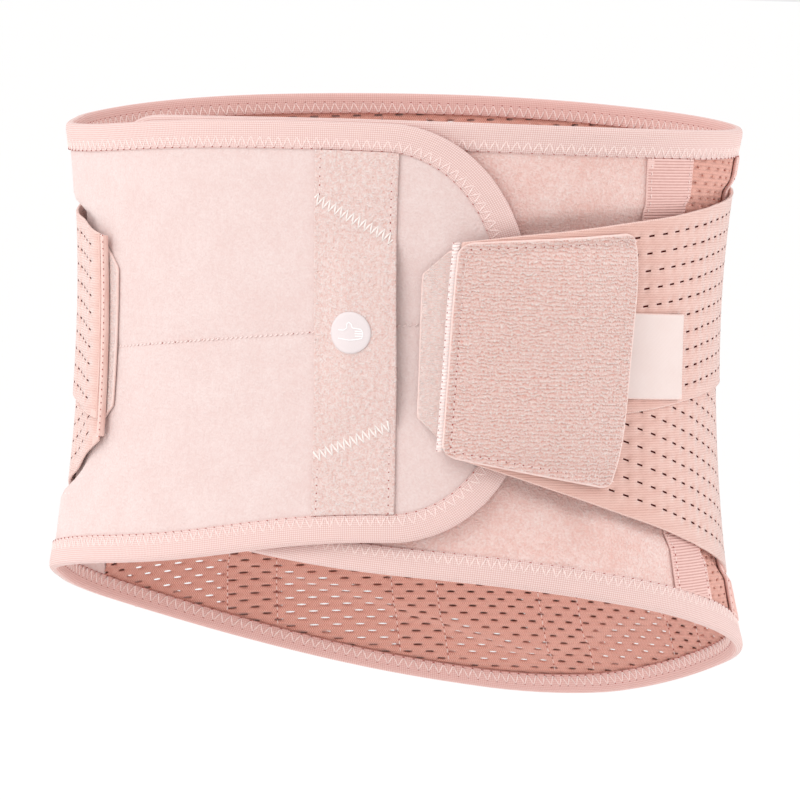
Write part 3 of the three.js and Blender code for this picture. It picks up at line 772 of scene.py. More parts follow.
thread_finish = cloth_material(
    "pale thread", (0.95, 0.80, 0.765), (0.90, 0.68, 0.64), 0.75, 0.2, speckle(2.0), 0.05
)
# Needle holes: small dark red grains, painted shade for the shade inside each hole.
painted_hole_shade = cloth_material(
    "needle hole", (0.42, 0.075, 0.06), (0.30, 0.04, 0.035), 1.0, 0.0, speckle(1.0), 0.01
)


def stitch_instances(tree, points, length, width, height, turn):
    """Smooth grains of thread along a line, each turned from the line's own direction."""
    tangent = {"Vector": put(tree, "GeometryNodeInputTangent").outputs[0]}
    along = put(tree, "FunctionNodeAlignRotationToVector", tangent, axis="X", pivot_axis="Z")
    slant = put(tree, "ShaderNodeCombineXYZ", {"Z": turn})
    turns = {0: along.outputs[0], 1: slant.outputs[0]}
    turned = put(tree, "FunctionNodeRotateRotation", turns, rotation_space="LOCAL")
    ball = put(tree, "GeometryNodeMeshIcoSphere", {"Radius": 0.5, "Subdivisions": 1})
    smooth = put(tree, "GeometryNodeSetShadeSmooth", {"Geometry": ball.outputs[0]})
    size = put(tree, "ShaderNodeCombineXYZ", {"X": length, "Y": width, "Z": height})
    grains = {
        "Points": points,
        "Instance": smooth.outputs[0],
        "Rotation": turned.outputs[0],
        "Scale": size.outputs[0],
    }
    return put(tree, "GeometryNodeInstanceOnPoints", grains).outputs[0]


def even_steps(tree, given, length):
    """The piece's lines with evenly spaced points."""
    line = put(tree, "GeometryNodeMeshToCurve", {"Mesh": given["Geometry"]})
    spacing = {"Curve": line.outputs[0], "Length": length}
    return put(tree, "GeometryNodeResampleCurve", spacing, mode="LENGTH").outputs[0]


def running_stitch():
    tree, given = new_tree("running stitch", ["Pitch", "Length", "Width", "Height", "Slant"])
    sizes = [given[size] for size in ("Length", "Width", "Height", "Slant")]
    grains = stitch_instances(tree, even_steps(tree, given, given["Pitch"]), *sizes)
    return close_tree(tree, grains, given["Material"])


def zigzag_stitch(holes=False):
    """A thread that swings from side to side of a line, or the painted shade of the needle holes at its turns."""
    name = "needle holes" if holes else "zigzag stitch"
    tree, given = new_tree(name, ["Pitch", "Width", "Thread", "Dip"])
    steps = even_steps(tree, given, calc(tree, "MULTIPLY", given["Pitch"], 0.25))
    tangent = put(tree, "GeometryNodeInputTangent").outputs[0]
    side = put(tree, "ShaderNodeVectorMath", {0: (0, 0, 1), 1: tangent}, operation="CROSS_PRODUCT")
    index = put(tree, "GeometryNodeInputIndex").outputs[0]
    swing = calc(tree, "SINE", calc(tree, "MULTIPLY", index, math.pi / 2))
    reach = calc(tree, "MULTIPLY", calc(tree, "MULTIPLY", swing, given["Width"]), 0.5)
    sideways = put(tree, "ShaderNodeVectorMath", {0: side.outputs[0], "Scale": reach}, operation="SCALE").outputs[0]
    sunk = calc(tree, "MULTIPLY", calc(tree, "ABSOLUTE", swing), given["Dip"])
    down = put(tree, "ShaderNodeCombineXYZ", {"Z": calc(tree, "MULTIPLY", sunk, -1.0)})
    offset = put(tree, "ShaderNodeVectorMath", {0: sideways, 1: down.outputs[0]}, operation="ADD")
    swung = put(tree, "GeometryNodeSetPosition", {"Geometry": steps, "Offset": offset.outputs[0]})
    if holes:
        swing_size = calc(tree, "ABSOLUTE", swing)
        at_turn = put(tree, "FunctionNodeCompare", {0: swing_size, 1: 0.5}, operation="GREATER_THAN")
        ball = put(tree, "GeometryNodeMeshIcoSphere", {"Radius": 0.5, "Subdivisions": 1})
        across = calc(tree, "MULTIPLY", given["Thread"], 1.5)
        size = put(tree, "ShaderNodeCombineXYZ", {"X": across, "Y": across, "Z": given["Thread"]})
        spots = put(
            tree,
            "GeometryNodeInstanceOnPoints",
            {
                "Points": swung.outputs[0],
                "Selection": at_turn.outputs[0],
                "Instance": ball.outputs[0],
                "Scale": size.outputs[0],
            },
        )
        return close_tree(tree, spots.outputs[0], given["Material"])
    ring = put(tree, "GeometryNodeCurvePrimitiveCircle", {"Resolution": 6}, mode="RADIUS")
    tree.links.new(calc(tree, "MULTIPLY", given["Thread"], 0.5), ring.inputs["Radius"])
    thread = put(
        tree,
        "GeometryNodeCurveToMesh",
        {"Curve": swung.outputs[0], "Profile Curve": ring.outputs[0], "Fill Caps": True},
    )
    smooth = put(tree, "GeometryNodeSetShadeSmooth", {"Geometry": thread.outputs[0]})
    return close_tree(tree, smooth.outputs[0], given["Material"])


stitch_tree = running_stitch()
zigzag_tree = zigzag_stitch()
needle_tree = zigzag_stitch(holes=True)


def thread_line(points, closed=False):
    """Points and edges of one flat line."""
    edges = [(k, k + 1) for k in range(len(points) - 1)]
    if closed:
        edges.append((len(points) - 1, 0))
    return points, edges


def stitched(name, runs, tree, sizes, material, seat):
    """One piece with the stitches of several flat lines, worn on the cloth."""
    points = []
    edges = []
    for run, joints in runs:
        edges.extend((a + len(points), b + len(points)) for a, b in joints)
        points.extend(run)
    piece = new_piece(name, points, edges)
    grow(piece, tree, material, sizes)
    wear(piece, seat)
    keep(piece)
    return piece


def straight(start, end, height=0.0, steps=24):
    """A flat line from start to end, with its height off the cloth."""
    run = [
        (start[0] + (end[0] - start[0]) * k / steps, start[1] + (end[1] - start[1]) * k / steps, height)
        for k in range(steps + 1)
    ]
    return thread_line(run)


def girth_seat(low):
    """A seat for flat pieces whose x is a girth place."""
    return lambda x, y: (x, y, low(x, y))


flap_face = flap_lift + panel_wall


def flap_top(x, y):
    return lift_at(x + half_girth) + panel_wall + soft_waves(x + half_girth, y)


seam_start = (seam_from, seam_height + seam_rise * seam_from)
seam_stop = (seam_to, seam_height + seam_rise * seam_to)
seam_line = straight(seam_start, seam_stop, -seam_thread_sink, seam_steps)
seam_hole_line = straight(seam_start, seam_stop, -seam_hole_sink, seam_steps)


def grain_sizes(pitch, length, width, height, slant=0.0):
    """A running stitch's sizes in mm, with the slant of its grains."""
    grain = {"Length": length * mm, "Width": width * mm, "Height": height * mm}
    return {"Pitch": pitch * mm, "Slant": slant, **grain}


seam_sizes = grain_sizes(2.3, 2.1, 0.6, 0.45, 0.45)
seam_dots = grain_sizes(6.9, 0.6, 0.5, 0.35)
stitched("flap_seam_stitches", [seam_line], stitch_tree, seam_sizes, thread_finish, girth_seat(flap_top))
stitched("flap_seam_holes", [seam_hole_line], stitch_tree, seam_dots, painted_hole_shade, girth_seat(flap_top))

# Edge binding: one folded elastic tape with a fine dotted weave, which wraps the rim of the
# whole belt and is sewn down through all layers with a wide zigzag.
binding_face = 10 * mm
binding_inner_share = 0.73
binding_step = 2 * mm
zigzag_depth = 7.4 * mm
zigzag_inner_depth = 5 * mm
zigzag_step = 1.2 * mm
zigzag_stand = 0.95 * mm
path_gap = 0.02 * mm


def binding_path(step):
    """The closed outline of the whole belt laid flat."""
    foot_stop = half_belt - end_bottom_corner_length
    top_stop = half_belt - end_top_corner_length
    foot = np.arange(-foot_stop, foot_stop, step)
    top = np.arange(top_stop, -top_stop, -step)
    turns = np.linspace(0, 1, round(end_top_corner_height * 1.3 / step))
    points = [np.stack([foot, rim_bottom(foot)], axis=-1)]
    corners = []
    for side in (1, -1):
        quarter = turns * math.pi / 2
        foot_y = rim_bottom(np.array(side * foot_stop))
        foot_y = foot_y + end_bottom_corner_height * (1 - np.cos(quarter))
        foot_x = side * (foot_stop + end_bottom_corner_length * np.sin(quarter))
        top_y = rim_top(np.array(side * top_stop))
        top_y = top_y - end_top_corner_height * (1 - np.sin(quarter))
        top_x = side * (top_stop + end_top_corner_length * np.cos(quarter))
        arc = np.concatenate([np.stack([foot_x, foot_y], axis=-1), np.stack([top_x, top_y], axis=-1)])
        corners.append(arc)
    points.append(corners[0])
    points.append(np.stack([top, rim_top(top)], axis=-1))
    points.append(corners[1][::-1])
    path = np.concatenate(points)
    gaps = np.linalg.norm(path - np.roll(path, 1, axis=0), axis=1)
    return even_path(path[gaps > path_gap], step)


def even_path(path, step):
    """The same closed line with evenly spaced points."""
    loop = np.concatenate([path, path[:1]])
    run = np.concatenate([[0], np.cumsum(np.linalg.norm(np.diff(loop, axis=0), axis=1))])
    places = np.linspace(0, run[-1], round(run[-1] / step) + 1)[:-1]
    return np.stack([np.interp(places, run, loop[:, 0]), np.interp(places, run, loop[:, 1])], axis=-1)


def inward_of(path):
    """The direction into the cloth at each point of the outline."""
    run = np.roll(path, -1, axis=0) - np.roll(path, 1, axis=0)
    run /= np.linalg.norm(run, axis=1, keepdims=True)
    return np.stack([-run[:, 1], run[:, 0]], axis=-1)


def binding_pattern(tree, cloth):
    where = put(tree, "ShaderNodeSeparateXYZ", {0: cloth})
    rows = wave(tree, where.outputs["X"], 0.82)
    columns = wave(tree, where.outputs["Y"], 0.82)
    return calc(tree, "POWER", calc(tree, "MULTIPLY", rows, columns), 0.45)


binding_finish = cloth_material(
    "binding weave", (0.87, 0.69, 0.655), (0.66, 0.34, 0.30), 0.8, 0.2, binding_pattern, 0.16
)
# The same tape on the face turned inside the belt, coloured darker and redder: painted shade.
shaded_binding_inside = cloth_material(
    "binding inside", (0.84, 0.58, 0.54), (0.62, 0.27, 0.23), 0.8, 0.2, binding_pattern, 0.16
)
# One half of the folded tape's outer contour in mm: depth from the rim, and rise off the panel's face.
fold_depth = np.array([10.2, 10.0, 9.2, 7.4, 4.6, 2.0, 0.4, -0.6, -1.1])
fold_rise = np.array([0.06, 0.5, 0.78, 0.9, 1.08, 1.12, 0.98, 0.55, -0.1])


def binding_section():
    outer = [(d * mm, panel_wall + r * mm) for d, r in zip(fold_depth, fold_rise)]
    inner = [(d * (binding_inner_share if d > 0 else 1), panel_wall - r) for d, r in outer[::-1]]
    hollow = [(0.0, -0.1 * mm), (-0.3 * mm, 0.4 * mm)]
    mirrored = [(d, panel_wall - r) for d, r in hollow[::-1]] + [(10.1 * mm, panel_wall + 0.04 * mm)]
    return np.array(outer + inner + hollow + mirrored)


def make_binding():
    """The folded section swept along the rim, with its own lengths as cloth places."""
    path = binding_path(binding_step)
    inward = inward_of(path)
    section = binding_section()
    count = len(section)
    flat = path[:, None, :] + inward[:, None, :] * section[None, :, :1]
    rise = np.broadcast_to(section[None, :, 1], flat.shape[:2])
    points = np.concatenate([flat, rise[..., None]], axis=-1).reshape(-1, 3)
    ids = np.arange(len(points)).reshape(len(path), count)
    ahead = np.roll(ids, -1, axis=0)
    faces = np.stack([ids, ahead, np.roll(ahead, -1, axis=1), np.roll(ids, -1, axis=1)], axis=-1)
    piece = new_piece("rim_binding", points.tolist(), [], faces.reshape(-1, 4).tolist())
    mesh = piece.data
    girth = np.linalg.norm(np.roll(section, -1, axis=0) - section, axis=1)
    v = np.concatenate([[0], np.cumsum(girth)])
    u = np.arange(len(path)) * binding_step
    u_ahead = u + binding_step
    corner_u = np.stack([u, u_ahead, u_ahead, u], axis=-1)[:, None, :].repeat(count, axis=1)
    corner_v = np.stack([v[:-1], v[:-1], v[1:], v[1:]], axis=-1)[None].repeat(len(path), axis=0)
    cloth = mesh.uv_layers.new(name="cloth")
    cloth.data.foreach_set("uv", np.stack([corner_u, corner_v], axis=-1).ravel())
    mesh.materials.append(binding_finish)
    mesh.materials.append(shaded_binding_inside)
    leg = np.arange(count)
    on_inside = (leg >= len(fold_depth)) & (leg < 2 * len(fold_depth))
    mesh.polygons.foreach_set("material_index", np.tile(on_inside.astype(np.int32), len(path)))
    wear(piece, belt_seat)
    keep(piece, ["edge_binding"])


make_binding()
zigzag_path = binding_path(zigzag_step)
zigzag_inward = inward_of(zigzag_path)
outer_line = zigzag_path + zigzag_inward * zigzag_depth
inner_line = zigzag_path + zigzag_inward * zigzag_inner_depth
zigzag_runs = [
    thread_line([(x, y, panel_wall + zigzag_stand) for x, y in outer_line], closed=True),
    thread_line([(x, y, -zigzag_stand) for x, y in inner_line], closed=True),
]


def swing_sizes(pitch, width, thread, dip):
    """A zigzag's sizes in mm."""
    return {"Pitch": pitch * mm, "Width": width * mm, "Thread": thread * mm, "Dip": dip * mm}


zigzag_sizes = swing_sizes(4.0, 4.4, 0.5, 0.12)
stitched("binding_zigzag", zigzag_runs, zigzag_tree, zigzag_sizes, thread_finish, belt_seat)
stitched("binding_needle_holes", zigzag_runs, needle_tree, zigzag_sizes, painted_hole_shade, belt_seat)

# Seam tapes: ribbed grosgrain with smooth selvages, one over each leaning side seam. Each is sewn
# down along both edges, and its ends run in under the edge binding.
tape_wall = 0.9 * mm
side_tape_width = 23 * mm
binding_tuck = 0.1 * mm
tape_rib = 1.15 * mm
tape_stitch_inset = 2 * mm
tape_low = panel_wall + layer_gap
selvage = 0.9 * mm
strip_step_across = 2.4 * mm
strip_step_along = 3.5 * mm
thread_stand = 0.06 * mm
hole_stand = 0.03 * mm
dot_sizes = grain_sizes(3.0, 0.75, 0.6, 0.4)
thread_sizes = grain_sizes(3.0, 2.1, 0.42, 0.4)


def rib_pattern(pitch, share, axis="Y"):
    """Ribs across an axis, with the fine threads between them and some wear."""

    def pattern(tree, cloth):
        where = put(tree, "ShaderNodeSeparateXYZ", {0: cloth})
        ribs = wave(tree, where.outputs[axis], pitch)
        across = "X" if axis == "Y" else "Y"
        threads = wave(tree, where.outputs[across], 0.55)
        worn = noise(tree, cloth, 0.5, 3.0)
        return weighted(tree, (ribs, share), (threads, 0.12), (worn, 0.25))

    return pattern


tape_finish = cloth_material(
    "grosgrain", (0.86, 0.58, 0.535), (0.56, 0.24, 0.205), 0.75, 0.15, rib_pattern(tape_rib / mm, 0.7), 0.35
)
selvage_finish = cloth_material(
    "tape selvage", (0.86, 0.61, 0.57), (0.75, 0.45, 0.40), 0.8, 0.15, rib_pattern(0.8, 0.6), 0.15
)


def between_bindings(belt):
    """The free height between the bindings at a belt place."""
    room = binding_face - binding_tuck
    return rim_bottom(belt) + room, rim_top(belt) - room


def leaning_sheet(name, middle, width, lean, ends, wall, relief, cloths, trim=0.0):
    """A strip with leaning sides, between the two heights that ends gives at each belt place."""
    foot, top = ends(np.array(middle))
    xs = lines(-width / 2, width / 2, strip_step_across, 0.5 * wall)
    ys = lines(0.0, float(top - foot), strip_step_along, 0.5 * wall)

    def shape(x, y):
        low = ends(middle + x + lean * foot)[0]
        high = ends(middle + x + lean * top)[1]
        height = low + (high - low) * y / ys[-1]
        return x + middle + lean * height, height, relief(x, height)

    return flat_sheet(name, xs, ys, wall, 0.5 * wall, shape, cloths, trim)


def edge_runs(middle, reach, lean, ends):
    """The two stitch lines along a strip, this far from its middle."""
    foot, top = (float(end) for end in ends(np.array(middle)))
    runs = []
    for side in (-1, 1):
        edge = middle + side * reach
        low = float(ends(np.array(edge + lean * foot))[0])
        high = float(ends(np.array(edge + lean * top))[1])
        runs.append(((edge + lean * low, low), (edge + lean * high, high)))
    return runs


def lockstitch(name, runs, seat):
    """Lines of pale thread lying on the cloth, with a dark grain of painted shade for the needle hole between two
    stitches.
    """
    threads = [straight(a, b, thread_stand) for a, b in runs]
    stitched(name + "_thread", threads, stitch_tree, thread_sizes, thread_finish, seat)
    holes = []
    for a, b in runs:
        share = 0.5 * thread_sizes["Pitch"] / math.hypot(b[0] - a[0], b[1] - a[1])
        first = (a[0] + (b[0] - a[0]) * share, a[1] + (b[1] - a[1]) * share)
        holes.append(straight(first, b, hole_stand))
    stitched(name + "_holes", holes, stitch_tree, dot_sizes, painted_hole_shade, seat)


def belt_at(low):
    """A seat for flat pieces whose x is a belt place."""
    return lambda x, y: (x - half_girth, y, 0 * x + low)


def no_relief(x, y):
    return 0 * x


tape_runs = []
for side_word, side in (("right", 1), ("left", -1)):
    middle = side * (half_girth - side_seam_place)
    lean = side * side_seam_slope
    seam_tape = leaning_sheet(
        side_word + "_seam_tape",
        middle,
        side_tape_width,
        lean,
        between_bindings,
        tape_wall,
        no_relief,
        [tape_finish, selvage_finish],
        selvage,
    )
    wear(seam_tape, belt_at(tape_low))
    foot, top = between_bindings(np.array(middle))
    keep(seam_tape, [side_word + "_side_tape"])
    tape_runs += edge_runs(middle, side_tape_width / 2 - tape_stitch_inset, lean, between_bindings)
lockstitch("seam_tape", tape_runs, belt_at(tape_low + tape_wall))

# Stay sleeves: five upright knitted sleeves on the outside of the mesh, sewn along both edges,
# each with a flat spring steel stay inside that shows as a low rise.
stay_channel_wall = 1.4 * mm
stay_channel_width = 23 * mm
stay_channel_pitch = 65 * mm
stay_half_width = 6.5 * mm
stay_shoulder = 2.5 * mm
stay_stand = 0.45 * mm
inside_stitch_stand = 0.5 * mm
sleeve_finish = cloth_material(
    "sleeve knit", (0.88, 0.56, 0.50), (0.66, 0.31, 0.26), 0.9, 0.2, rib_pattern(1.1, 0.65, "X"), 0.3
)


def stay_rise(x, y):
    return -stay_stand * ease_step(stay_half_width, stay_half_width + stay_shoulder, np.abs(x))


sleeve_runs = []
for index in range(-2, 3):
    middle = centre_back_shift + index * stay_channel_pitch
    sleeve = leaning_sheet(
        f"stay_sleeve_{index + 3}",
        middle,
        stay_channel_width,
        0.0,
        between_bindings,
        stay_channel_wall,
        stay_rise,
        [sleeve_finish, selvage_finish],
        selvage,
    )
    wear(sleeve, belt_at(tape_low))
    foot, top = between_bindings(np.array(middle))
    keep(sleeve, [f"stay_channel_{index + 3}"])
    sleeve_runs += edge_runs(middle, stay_channel_width / 2 - tape_stitch_inset, 0.0, between_bindings)
lockstitch("sleeve", sleeve_runs, belt_at(tape_low + stay_channel_wall - stay_stand))
lockstitch("sleeve_inside", sleeve_runs, belt_at(inside_stitch_stand))

# Hook panel: a soft panel of fine hooks with rounded corners, sewn under the flap's end. It grips
# the inner panel's fleece, and is hidden while the belt is closed.
flap_hook_length = 70 * mm
flap_hook_height = 112 * mm
flap_hook_corner = 34 * mm
flap_hook_inset = 17 * mm
flap_hook_step = 3 * mm
flap_hook_rim = 1 * mm
patch_height = 18 * mm


def brush_pattern(tree, cloth):
    """Short fibres that lie across the tape."""
    streaks = noise(tree, cloth, 1.3, 3.0, (0.45, 1.9, 1))
    tufts = noise(tree, cloth, 0.9, 2.0)
    return clipped(tree, weighted(tree, (streaks, 1.5), (tufts, 0.5)), 0.5)


hook_finish = cloth_material(
    "hook tape", (0.98, 0.88, 0.85), (0.95, 0.60, 0.53), 0.95, 0.3, brush_pattern, 0.7
)
pale_rim_finish = cloth_material(
    "pale rim", (0.89, 0.72, 0.68), (0.81, 0.58, 0.53), 0.9, 0.25, fleece_pattern, 0.2
)


def soft_corners(x, y, box, corner, cut=False):
    """Pulls the corners of a grid in, to quarter ellipses, or to straight cuts."""
    left, right, foot, top = box
    across = np.clip((corner - np.minimum(x - left, right - x)) / corner, 0, 1)
    upward = np.clip((corner - np.minimum(y - foot, top - y)) / corner, 0, 1)
    if cut:
        pull_x = across * upward / 2
        pull_y = across * upward / 2
    else:
        pull_x = across * (1 - np.sqrt(1 - upward ** 2 / 2))
        pull_y = upward * (1 - np.sqrt(1 - across ** 2 / 2))
    toward_x = np.where(x < (left + right) / 2, 1, -1)
    toward_y = np.where(y < (foot + top) / 2, 1, -1)
    return x + toward_x * corner * pull_x, y + toward_y * corner * pull_y


hook_right = end_overlap - flap_hook_inset
hook_box = (
    hook_right - flap_hook_length,
    hook_right,
    patch_height - flap_hook_height / 2,
    patch_height + flap_hook_height / 2,
)
hook_wall = flap_lift - 2 * layer_gap - panel_wall
flap_hook = flat_sheet(
    "flap_hook",
    lines(hook_box[0], hook_box[1], flap_hook_step, flap_hook_rim),
    lines(hook_box[2], hook_box[3], flap_hook_step, flap_hook_rim),
    hook_wall,
    flap_hook_rim,
    lambda x, y: (*soft_corners(x, y, hook_box, flap_hook_corner), 0 * x),
    [hook_finish],
)
wear(flap_hook, girth_seat(lambda x, y: 0 * x + tape_low))
keep(flap_hook, ["flap_hook_panel"])

# Hand patch: a strip of napped knit on the flap, with two slanted bar tacks. It is sewn down along
# both sides above and below the tacks, and is loose between them for the fingers.
patch_wall = 1.2 * mm
patch_width = 33 * mm
patch_place = 43 * mm
patch_lean = 5 / 143
patch_opening_length = 74 * mm
patch_room = 3.5 * mm
patch_slack = 0.35
lift_squareness = 4
patch_rim = 0.6 * mm
patch_step_across = 1.1 * mm
patch_step_along = 2.2 * mm
patch_stitch_inset = 2.3 * mm
patch_stitch_sink = 0.2 * mm
patch_groove = 0.25 * mm
patch_groove_width = 0.7 * mm
# Each tack: the height of its right and left end, and how far inside the patch each end lies.
top_tack = (70 * mm, 55 * mm)
top_tack_insets = (0.5 * mm, 1.2 * mm)
low_tack = (-32 * mm, -18 * mm)
low_tack_insets = (1.3 * mm, 1.9 * mm)
tack_stand = 0.15 * mm
tack_hole_sink = 0.3 * mm
tack_steps = 60


def nap_pattern(tree, cloth):
    fine = noise(tree, cloth, 1.25, 3.0)
    tufts = noise(tree, cloth, 0.55, 2.0)
    return clipped(tree, weighted(tree, (fine, 1.3), (tufts, 0.9)), 0.62)


patch_finish = cloth_material(
    "patch nap", (0.96, 0.845, 0.815), (0.82, 0.49, 0.43), 1.0, 0.3, nap_pattern, 0.8
)


def patch_lift(place, height):
    across = place - patch_place - patch_lean * (patch_height - height)
    share = np.clip(across / patch_width + 0.5, 0, 1)
    along = np.clip(2 * (height - patch_height) / patch_opening_length, -1, 1)
    return patch_room * ease_step(0, 0.5, share) * (1 - np.abs(along) ** lift_squareness)


def patch_seat(x, y):
    return flap_face + layer_gap + soft_waves(x + half_girth, y) + patch_lift(x, y)


def patch_edge(side, height, inset=0.0):
    middle = patch_place + patch_lean * (patch_height - height)
    return middle + side * (patch_width / 2 - inset)


def patch_heights(place):
    """The free height for the patch between the flap's bindings."""
    foot, top = panel_edges(1, half_girth + place)
    room = binding_face - binding_tuck
    return foot + room, top - room


patch_foot, patch_top = (float(end) for end in patch_heights(np.array(patch_place)))


def patch_shape(x, y):
    groove = np.exp(-(((np.abs(x) - patch_width / 2 + patch_stitch_inset) / patch_groove_width) ** 2))
    foot = patch_heights(x + patch_edge(0, patch_foot))[0]
    top = patch_heights(x + patch_edge(0, patch_top))[1]
    height = foot + (top - foot) * (y - patch_foot) / (patch_top - patch_foot)
    place = x + patch_edge(0, height)
    return place + patch_slack * patch_lift(place, height), height, -patch_groove * groove


patch_cloth = flat_sheet(
    "patch_cloth",
    lines(-patch_width / 2, patch_width / 2, patch_step_across, patch_rim),
    lines(patch_foot, patch_top, patch_step_along, patch_rim),
    patch_wall,
    patch_rim,
    patch_shape,
    [patch_finish],
)
wear(patch_cloth, girth_seat(patch_seat))
keep(patch_cloth, ["hand_patch"])


def patch_top_seat(x, y):
    return patch_seat(x, y) + patch_wall


def patch_seat_above(rise):
    """A seat this far above the patch's face."""
    return girth_seat(lambda x, y: patch_top_seat(x, y) + rise)


def tack_line(heights, insets):
    """The middle line of a bar tack across the patch."""
    start = (patch_edge(-1, heights[0], insets[0]), heights[0])
    stop = (patch_edge(1, heights[1], insets[1]), heights[1])
    return straight(start, stop, tack_stand, tack_steps)


patch_runs = []
for side, foot, top in (
    (-1, patch_foot, low_tack[0] + 1 * mm),
    (-1, top_tack[0], patch_top),
    (1, patch_foot, low_tack[1] - 2 * mm),
    (1, top_tack[1] + 2 * mm, patch_top),
):
    start = (patch_edge(side, foot, patch_stitch_inset), foot)
    stop = (patch_edge(side, top, patch_stitch_inset), top)
    patch_runs.append((start, stop))
lockstitch("patch", patch_runs, patch_seat_above(-patch_stitch_sink))
tack_runs = [tack_line(top_tack, top_tack_insets), tack_line(low_tack, low_tack_insets)]
tack_sizes = swing_sizes(2.7, 4.4, 0.8, 0.25)
tack_finish = cloth_material(
    "tack thread", (0.97, 0.91, 0.88), (0.92, 0.80, 0.76), 0.7, 0.2, speckle(2.0), 0.05
)
stitched("patch_bar_tacks", tack_runs, zigzag_tree, tack_sizes, tack_finish, patch_seat_above(0))
hole_seat = patch_seat_above(-tack_hole_sink)
stitched("patch_tack_holes", tack_runs, needle_tree, tack_sizes, painted_hole_shade, hole_seat)

# Disc: a round soft plastic transfer, pressed on the hand patch with heat. Its figure is a plain
# raised hand in outline, which shows where the fingers go.
disc_radius = 8.3 * mm
disc_wall = 0.6 * mm
disc_gap = 0.1 * mm
disc_rings = 10
disc_sides = 64
figure_stand = 0.05 * mm


def smooth_plastic(name, colour, roughness):
    dim = tuple(0.93 * share for share in colour)
    return cloth_material(name, colour, dim, roughness, 0.0, speckle(2.2, 3.0), 0.04, shine=0.5)


disc_finish = smooth_plastic("disc transfer", (0.77, 0.68, 0.68), 0.5)
figure_finish = smooth_plastic("disc figure", (0.99, 0.98, 0.98), 0.45)


def make_disc():
    """A low dome with a rounded rim, closed underneath."""
    rings = []
    for k in range(1, disc_rings + 1):
        share = (k / disc_rings) ** 0.7
        rings.append((disc_radius * share, disc_wall * (0.35 + 0.65 * math.sqrt(1 - share ** 8))))
    rings.append((disc_radius, 0.0))
    points = [(patch_place, patch_height, disc_wall)]
    for reach, rise in rings:
        for k in range(disc_sides):
            turn = 2 * math.pi * k / disc_sides
            across = patch_place + reach * math.cos(turn)
            points.append((across, patch_height + reach * math.sin(turn), rise))
    points.append((patch_place, patch_height, 0.0))
    last = len(points) - 1
    faces = []
    for k in range(disc_sides):
        j = (k + 1) % disc_sides
        faces.append((0, 1 + k, 1 + j))
        faces.append((last, last - disc_sides + j, last - disc_sides + k))
        for ring in range(disc_rings):
            a = 1 + ring * disc_sides
            faces.append((a + k, a + disc_sides + k, a + disc_sides + j, a + j))
    piece = new_piece("patch_transfer", points, [], faces)
    piece.data.materials.append(disc_finish)
    wear(piece, patch_seat_above(disc_gap))
    keep(piece, ["patch_disc"])


make_disc()
# A plain mitten-like hand in mm, fingers to the right: its outline, and the lines between its fingers.
hand_outline = [(-4.6, -2.4), (0.2, -2.9), (2.6, -2.6), (5.0, -2.0), (5.3, -1.0), (5.2, 0.6)]
hand_outline += [(4.6, 1.6), (2.2, 1.9), (1.2, 2.0), (0.6, 3.6), (-0.4, 4.2), (-1.0, 3.4)]
hand_outline += [(-0.9, 1.9), (-2.4, 0.9), (-4.6, 1.0)]
hand_creases = [((5.2, -1.1), (2.3, -1.2)), ((5.3, -0.2), (2.2, -0.2)), ((5.1, 0.8), (2.3, 0.8))]


def figure_line(run):
    return [(patch_place + x * mm, patch_height + y * mm, disc_wall + figure_stand) for x, y in run]


figure_runs = [thread_line(figure_line(hand_outline))]
for a, b in hand_creases:
    middle = ((a[0] + b[0]) / 2, (a[1] + b[1]) / 2)
    figure_runs.append(thread_line(figure_line([a, middle, b])))
figure_sizes = swing_sizes(2.0, 0.0, 0.42, 0.0)
figure_seat = patch_seat_above(disc_gap)
stitched("patch_hand", figure_runs, zigzag_tree, figure_sizes, figure_finish, figure_seat)

# Straps: on each side two slotted elastic bands cross on the back and meet at the strap's end,
# over a hook pad that grips the fleece. Side 1 is the belt's left, and side -1 its right.
hook_pad_wall = 1.2 * mm
band_wall = 1.2 * mm
flap_end_room = 5 * mm
pad_end_room = 2 * mm
strap_end_lean = 3 * mm
hook_pad_reach = 11 * mm
right_pad_reach = 5.5 * mm
hook_pad_length = 76 * mm
hook_pad_inset = 3 * mm
hook_pad_step = 2.2 * mm
hook_pad_rim = 0.6 * mm
hook_pad_corner = 10 * mm
hook_pad_trim = 1.5 * mm
end_strip_width = 3 * mm
strap_settle_place = 150 * mm
strap_settled_place = 182 * mm
right_climb_start = 140 * mm
right_climb_end = 160 * mm
tape_carries = 14 * mm
tape_lets_go = 20 * mm
sleeve_carries = 12 * mm
sleeve_lets_go = 22 * mm
band_slot_pitch = 6.2 * mm
band_slot_length = 2.4 * mm
band_slot_height = 0.75 * mm
band_row_pitch = 7.0 * mm
band_rows_count = 10
band_plain_end = 8 * mm
band_end_mark = 4 * mm
band_rim = 0.5 * mm
band_rim_near = 0.15 * mm
band_selvage = 1.6 * mm
band_lean_reach = 26 * mm
band_dip = 0.8 * mm
back_stack = panel_wall + stay_channel_wall + 2 * layer_gap


def strap_lay(side, distance):
    """How high the strap lies, by the distance from the middle of the front."""
    if side > 0:
        high = flap_face + binding_stand + 2 * layer_gap
        flap_end = end_overlap + binding_stand + flap_end_room
        return high + (back_stack - high) * ease_step(flap_end, strap_settle_place, distance)
    over_flap = flap_lift * (1 - ease_step(flap_rise_end, flap_rise_start, distance))
    climb = ease_step(right_climb_start, right_climb_end, distance)
    over_stays = (stay_channel_wall + layer_gap) * climb
    return panel_wall + layer_gap + over_flap + over_stays


def band_lay(side, distance, upper):
    pad_end = strap_end_place + hook_pad_length + pad_end_room
    over_pad = (hook_pad_wall + layer_gap) * (1 - ease_step(pad_end, strap_settled_place, distance))
    return strap_lay(side, distance) + over_pad + (band_wall + layer_gap if upper else 0.0)


def strap_edge(side, height):
    share = (strap_end_top - strap_drop(side) - height) / strap_end_height
    return strap_end_place + end_strip_width + layer_gap - strap_end_lean * share


